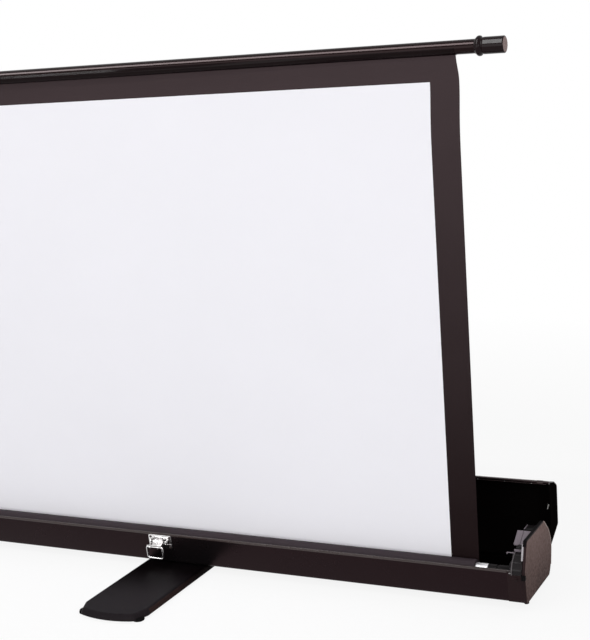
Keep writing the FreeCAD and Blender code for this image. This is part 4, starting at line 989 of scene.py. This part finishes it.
# latch on the leaning front wall: pressed plate with ears, lever standing out, and a wire bail hanging from it;
# pairs are (out, up) from the wall's foot, or (along, up) for the plate
latch = {
    "middle": -29, "pivot": np.array([6.5, 50]),
    "plate": roundedRun(rectangle((-28, 31), (28, 62)), 3.5, True), "plateThick": 1.5, "plateEdge": 0.4,
    "rib": roundedRun(rectangle((-14, 55), (3, 59)), 1.8, True), "ribLevels": [(0, 1.2), (0.3, 1.9), (1.0, 2.3)],
    "earsAt": (-19, 19), "earHalf": 1, "earRadius": 4, "earFrom": 1.4, "earArc": (-80, 80, 10),
    "screwsAt": [(-23, 36), (-23, 57), (23, 36), (23, 57)], "screwSize": (2.6, 1.4),
    "darkSpots": [(6.5, 54), (6.5, 39), (20, 46)], "darkSpotOut": 1.45, "darkSpotRounds": 24,
    "darkSpot": [(0, 0), (0, 2.1), (0.3, 2), (0.6, 1.5), (0.75, 0)],
    "curl": (3.2, 230, -60, 18), "blade": [(5, -1.2), (20, -1.2), (23, -0.6), (24, 1.4)], "bladeThick": 1.5,
    "leverOut": (9, 20), "leverHalf": (10.5, 16), "leverShares": (-1, -0.97, 0.97, 1),
    "lugsAt": (-10, 10), "lug": [(-2, 1.75), (-2, 3.1), (2, 3.1), (2, 1.75), (-2, 1.75)],
    "rounds": 28,  # of the lugs and the pin
    "pin": [(-20.5, 0), (-20.5, 2.2), (-20, 2.5), (-19.6, 1.5), (19.6, 1.5), (20, 2.5), (20.5, 2.2), (20.5, 0)],
    "wire": 1.85, "wireSteps": 14, "bailHalf": 19, "bailLow": 20.85, "bailTop": 46.85, "bailOut": 26.5,
    "bailBends": [5, 5, 3, 3],
}


def makeLatch():
    t = latch
    base, pivot, x0 = onFront(t["middle"], 0, 0), t["pivot"], t["middle"]
    levels = plateLevels(0, t["plateThick"], t["plateEdge"])
    parts = [plate(t["plate"], levels, base, xAxis, frontUp, frontOut),
             plate(t["rib"], t["ribLevels"], base, xAxis, frontUp, frontOut)]
    low, high = pivot - (0, t["earRadius"]), pivot + (0, t["earRadius"])
    ear = np.concatenate([[(t["earFrom"], low[1]), low], arcRun(pivot, t["earRadius"], *t["earArc"]),
                          [high, (t["earFrom"], high[1])]])
    for x in t["earsAt"]:
        levels = plateLevels(x - t["earHalf"], x + t["earHalf"], t["plateEdge"])
        parts.append(plate(ear, levels, base, frontOut, frontUp, xAxis))
    putPiece("latchPlate", parts, "case", "chrome", "chrome", "latch_plate")
    places = [onFront(x0 + x, z, t["plateThick"]) for x, z in t["screwsAt"]]
    heads = [crossHead(place, frontOut, *t["screwSize"]) for place in places]
    putPiece("latchScrews", heads, "case", "chrome", "edgeTrim", "latch_screws")
    # small dark domes on the plate: painted shade where the plate shows dark spots
    places = [onFront(x0 + x, z, t["darkSpotOut"]) for x, z in t["darkSpots"]]
    darkSpots = [turned(t["darkSpot"], place, frontOut, t["darkSpotRounds"]) for place in places]
    putPiece("latchDarkSpots", darkSpots, "case", "chrome", "blackPlastic")
    # lever: a strip curled round the pin, run out and rolled up at its tip, widening as it goes
    blade = np.concatenate([arcRun(pivot, *t["curl"]), pivot + t["blade"]])
    inner = sideStep(blade, t["bladeThick"])
    ring, strip = np.concatenate([blade, inner[::-1]]), np.stack([blade, inner], 1)

    def acrossLever(run, share):
        half = np.interp(run[..., :1], t["leverOut"], t["leverHalf"])
        return base + share * half * xAxis + run[..., :1] * frontOut + run[..., 1:] * frontUp

    rings = np.stack([acrossLever(ring, share) for share in t["leverShares"]])
    parts = [gridPart(rings, closedColumns=True)] + [gridPart(acrossLever(strip, side)) for side in bothSides]
    places = [onFront(x0 + x, t["bailTop"], t["bailOut"]) for x in t["lugsAt"]]
    parts += [turned(t["lug"], place, xAxis, t["rounds"]) for place in places]
    putPiece("latchLever", parts, "lever", "chrome", "chrome", "latch_lever")
    pin = turned(t["pin"], onFront(x0, pivot[1], pivot[0]), xAxis, t["rounds"])
    putPiece("latchPin", [pin], "case", "chrome", "steel", "latch_pin")
    corners = rectangle((-t["bailHalf"], t["bailLow"]), (t["bailHalf"], t["bailTop"]))
    loop = roundedRun(corners, t["bailBends"], True, 8)
    run = onFront(x0, 0, t["bailOut"]) + loop[:, :1] * xAxis + loop[:, 1:] * frontUp
    bail = wireAlong(run, frontOut, t["wire"], t["wireSteps"])
    putPiece("latchBail", [bail], "bail", "chrome", "chrome", "latch_bail")


makeLatch()
print("latch made")

# the CAD nodes that stay take their finish from their slot
slotFinish = {
    "steel": "steel", "chrome": "chrome", "bare_aluminium": "bareTube", "black_plastic": "blackPlastic",
    "rubber": "rubber", "arm_paint": "armCoat", "case_paint": "caseCoat", "foot_paint": "footCoat",
    "cap_plastic": "capFace", "fabric_back": "rollCloth", "fabric_face": "screenBack", "bar_enamel": "barEnamel",
}
for entry in frame["record"]["subparts"]:
    node = nodes[entry["node"]]
    if not node.material_slots:
        node.data.materials.append(None)
    for place in node.material_slots:
        place.material = finishes[slotFinish[entry["material_slot"]]]

# plain white studio: pale floor, white surroundings and three soft lamps; lengths here are metres
studio = {
    "floorTone": (248, 248, 249), "bounceTone": (196, 196, 198), "floorHalf": 9,
    "ambient": 0.53, "floorWhite": 0.87, "fade": (1.2, 2.6),
    # name, place, aim, width, depth, power
    "lamps": [
        ("keyLamp", (-0.4, -3.4, 1), (0, 0, 0.3), 3.6, 2, 44),
        ("stripLamp", (-1.15, -1.75, 3.35), (-1.15, 0, 1.05), 2.9, 0.12, 21),
        ("sideLamp", (2.9, -2, 1.4), (0.4, 0, 0.4), 1.2, 1.2, 22),
    ],
}


# 1 for camera, glossy and transmission rays
def seenDirectly(wire):
    rays = [wire.add("LightPath", out=f"Is {kind} Ray") for kind in ("Camera", "Glossy", "Transmission")]
    return wire.work("MAXIMUM", wire.work("MAXIMUM", rays[0], rays[1]), rays[2])


def makeWorld():
    world = bpy.data.worlds.new("studio")
    world.use_nodes = True
    bpy.context.scene.world = world
    tree = world.node_tree
    strength = studio["ambient"] + seenDirectly(Wire(tree)) * (1 - studio["ambient"])
    tree.links.new(strength.socket, tree.nodes["Background"].inputs["Strength"])
    tree.nodes["Background"].inputs["Color"].default_value = (1, 1, 1, 1)


# the floor is matt where it catches the shadow and goes over to plain white further out
def makeFloor():
    material = bpy.data.materials.new("studioFloor")
    material.use_nodes = True
    tree = material.node_tree
    tree.nodes.remove(tree.nodes["Principled BSDF"])
    wire = Wire(tree)
    seen = seenDirectly(wire)
    matt = wire.add("BsdfDiffuse", None, {"Color": seen.mixed(studio["bounceTone"], studio["floorTone"])})
    white = wire.add("Emission", None, {"Color": (1, 1, 1, 1), "Strength": 1})
    reach = wire.add("VectorMath", {"operation": "LENGTH"}, {0: wire.here()}, "Value")
    view = seen * reach.spread(*studio["fade"], studio["floorWhite"], 1)
    mixed = wire.add("MixShader", None, {0: view, 1: matt, 2: white})
    tree.links.new(mixed.socket, tree.nodes["Material Output"].inputs["Surface"])
    half = studio["floorHalf"]
    mesh = bpy.data.meshes.new("floor")
    mesh.from_pydata([(x, y, 0) for x, y in rectangle((-half, -half), (half, half))], [], [(0, 1, 2, 3)])
    mesh.materials.append(material)
    addObject("floor", mesh)


def makeLamps():
    for name, place, aim, width, depth, power in studio["lamps"]:
        lamp = bpy.data.lights.new(name, "AREA")
        lamp.shape, lamp.size, lamp.size_y, lamp.energy = "RECTANGLE", width, depth, power
        away = unit(np.array(place) - np.array(aim))
        side = unit(np.cross((0, 0, 1), away))
        turn = np.eye(4)
        turn[:3] = np.stack([side, np.cross(away, side), away, np.array(place)], 1)
        addObject(name, lamp).matrix_world = Matrix(turn.tolist())


makeWorld()
makeFloor()
makeLamps()

# camera at the photograph's viewing point, for an image of 590 by 640
camera = {
    "place": (1.50238, -2.42877, 1.07586), "turn": (78.7307, 3.9457, 25.791), "lens": 77.535, "sensor": 36,
}
lens = bpy.data.cameras.new("camera")
lens.lens, lens.sensor_width = camera["lens"], camera["sensor"]
eye = addObject("camera", lens)
eye.location = camera["place"]
eye.rotation_euler = [radians(angle) for angle in camera["turn"]]
bpy.context.scene.camera = eye
bpy.context.scene.view_settings.view_transform = "Standard"
print("studio and camera set")
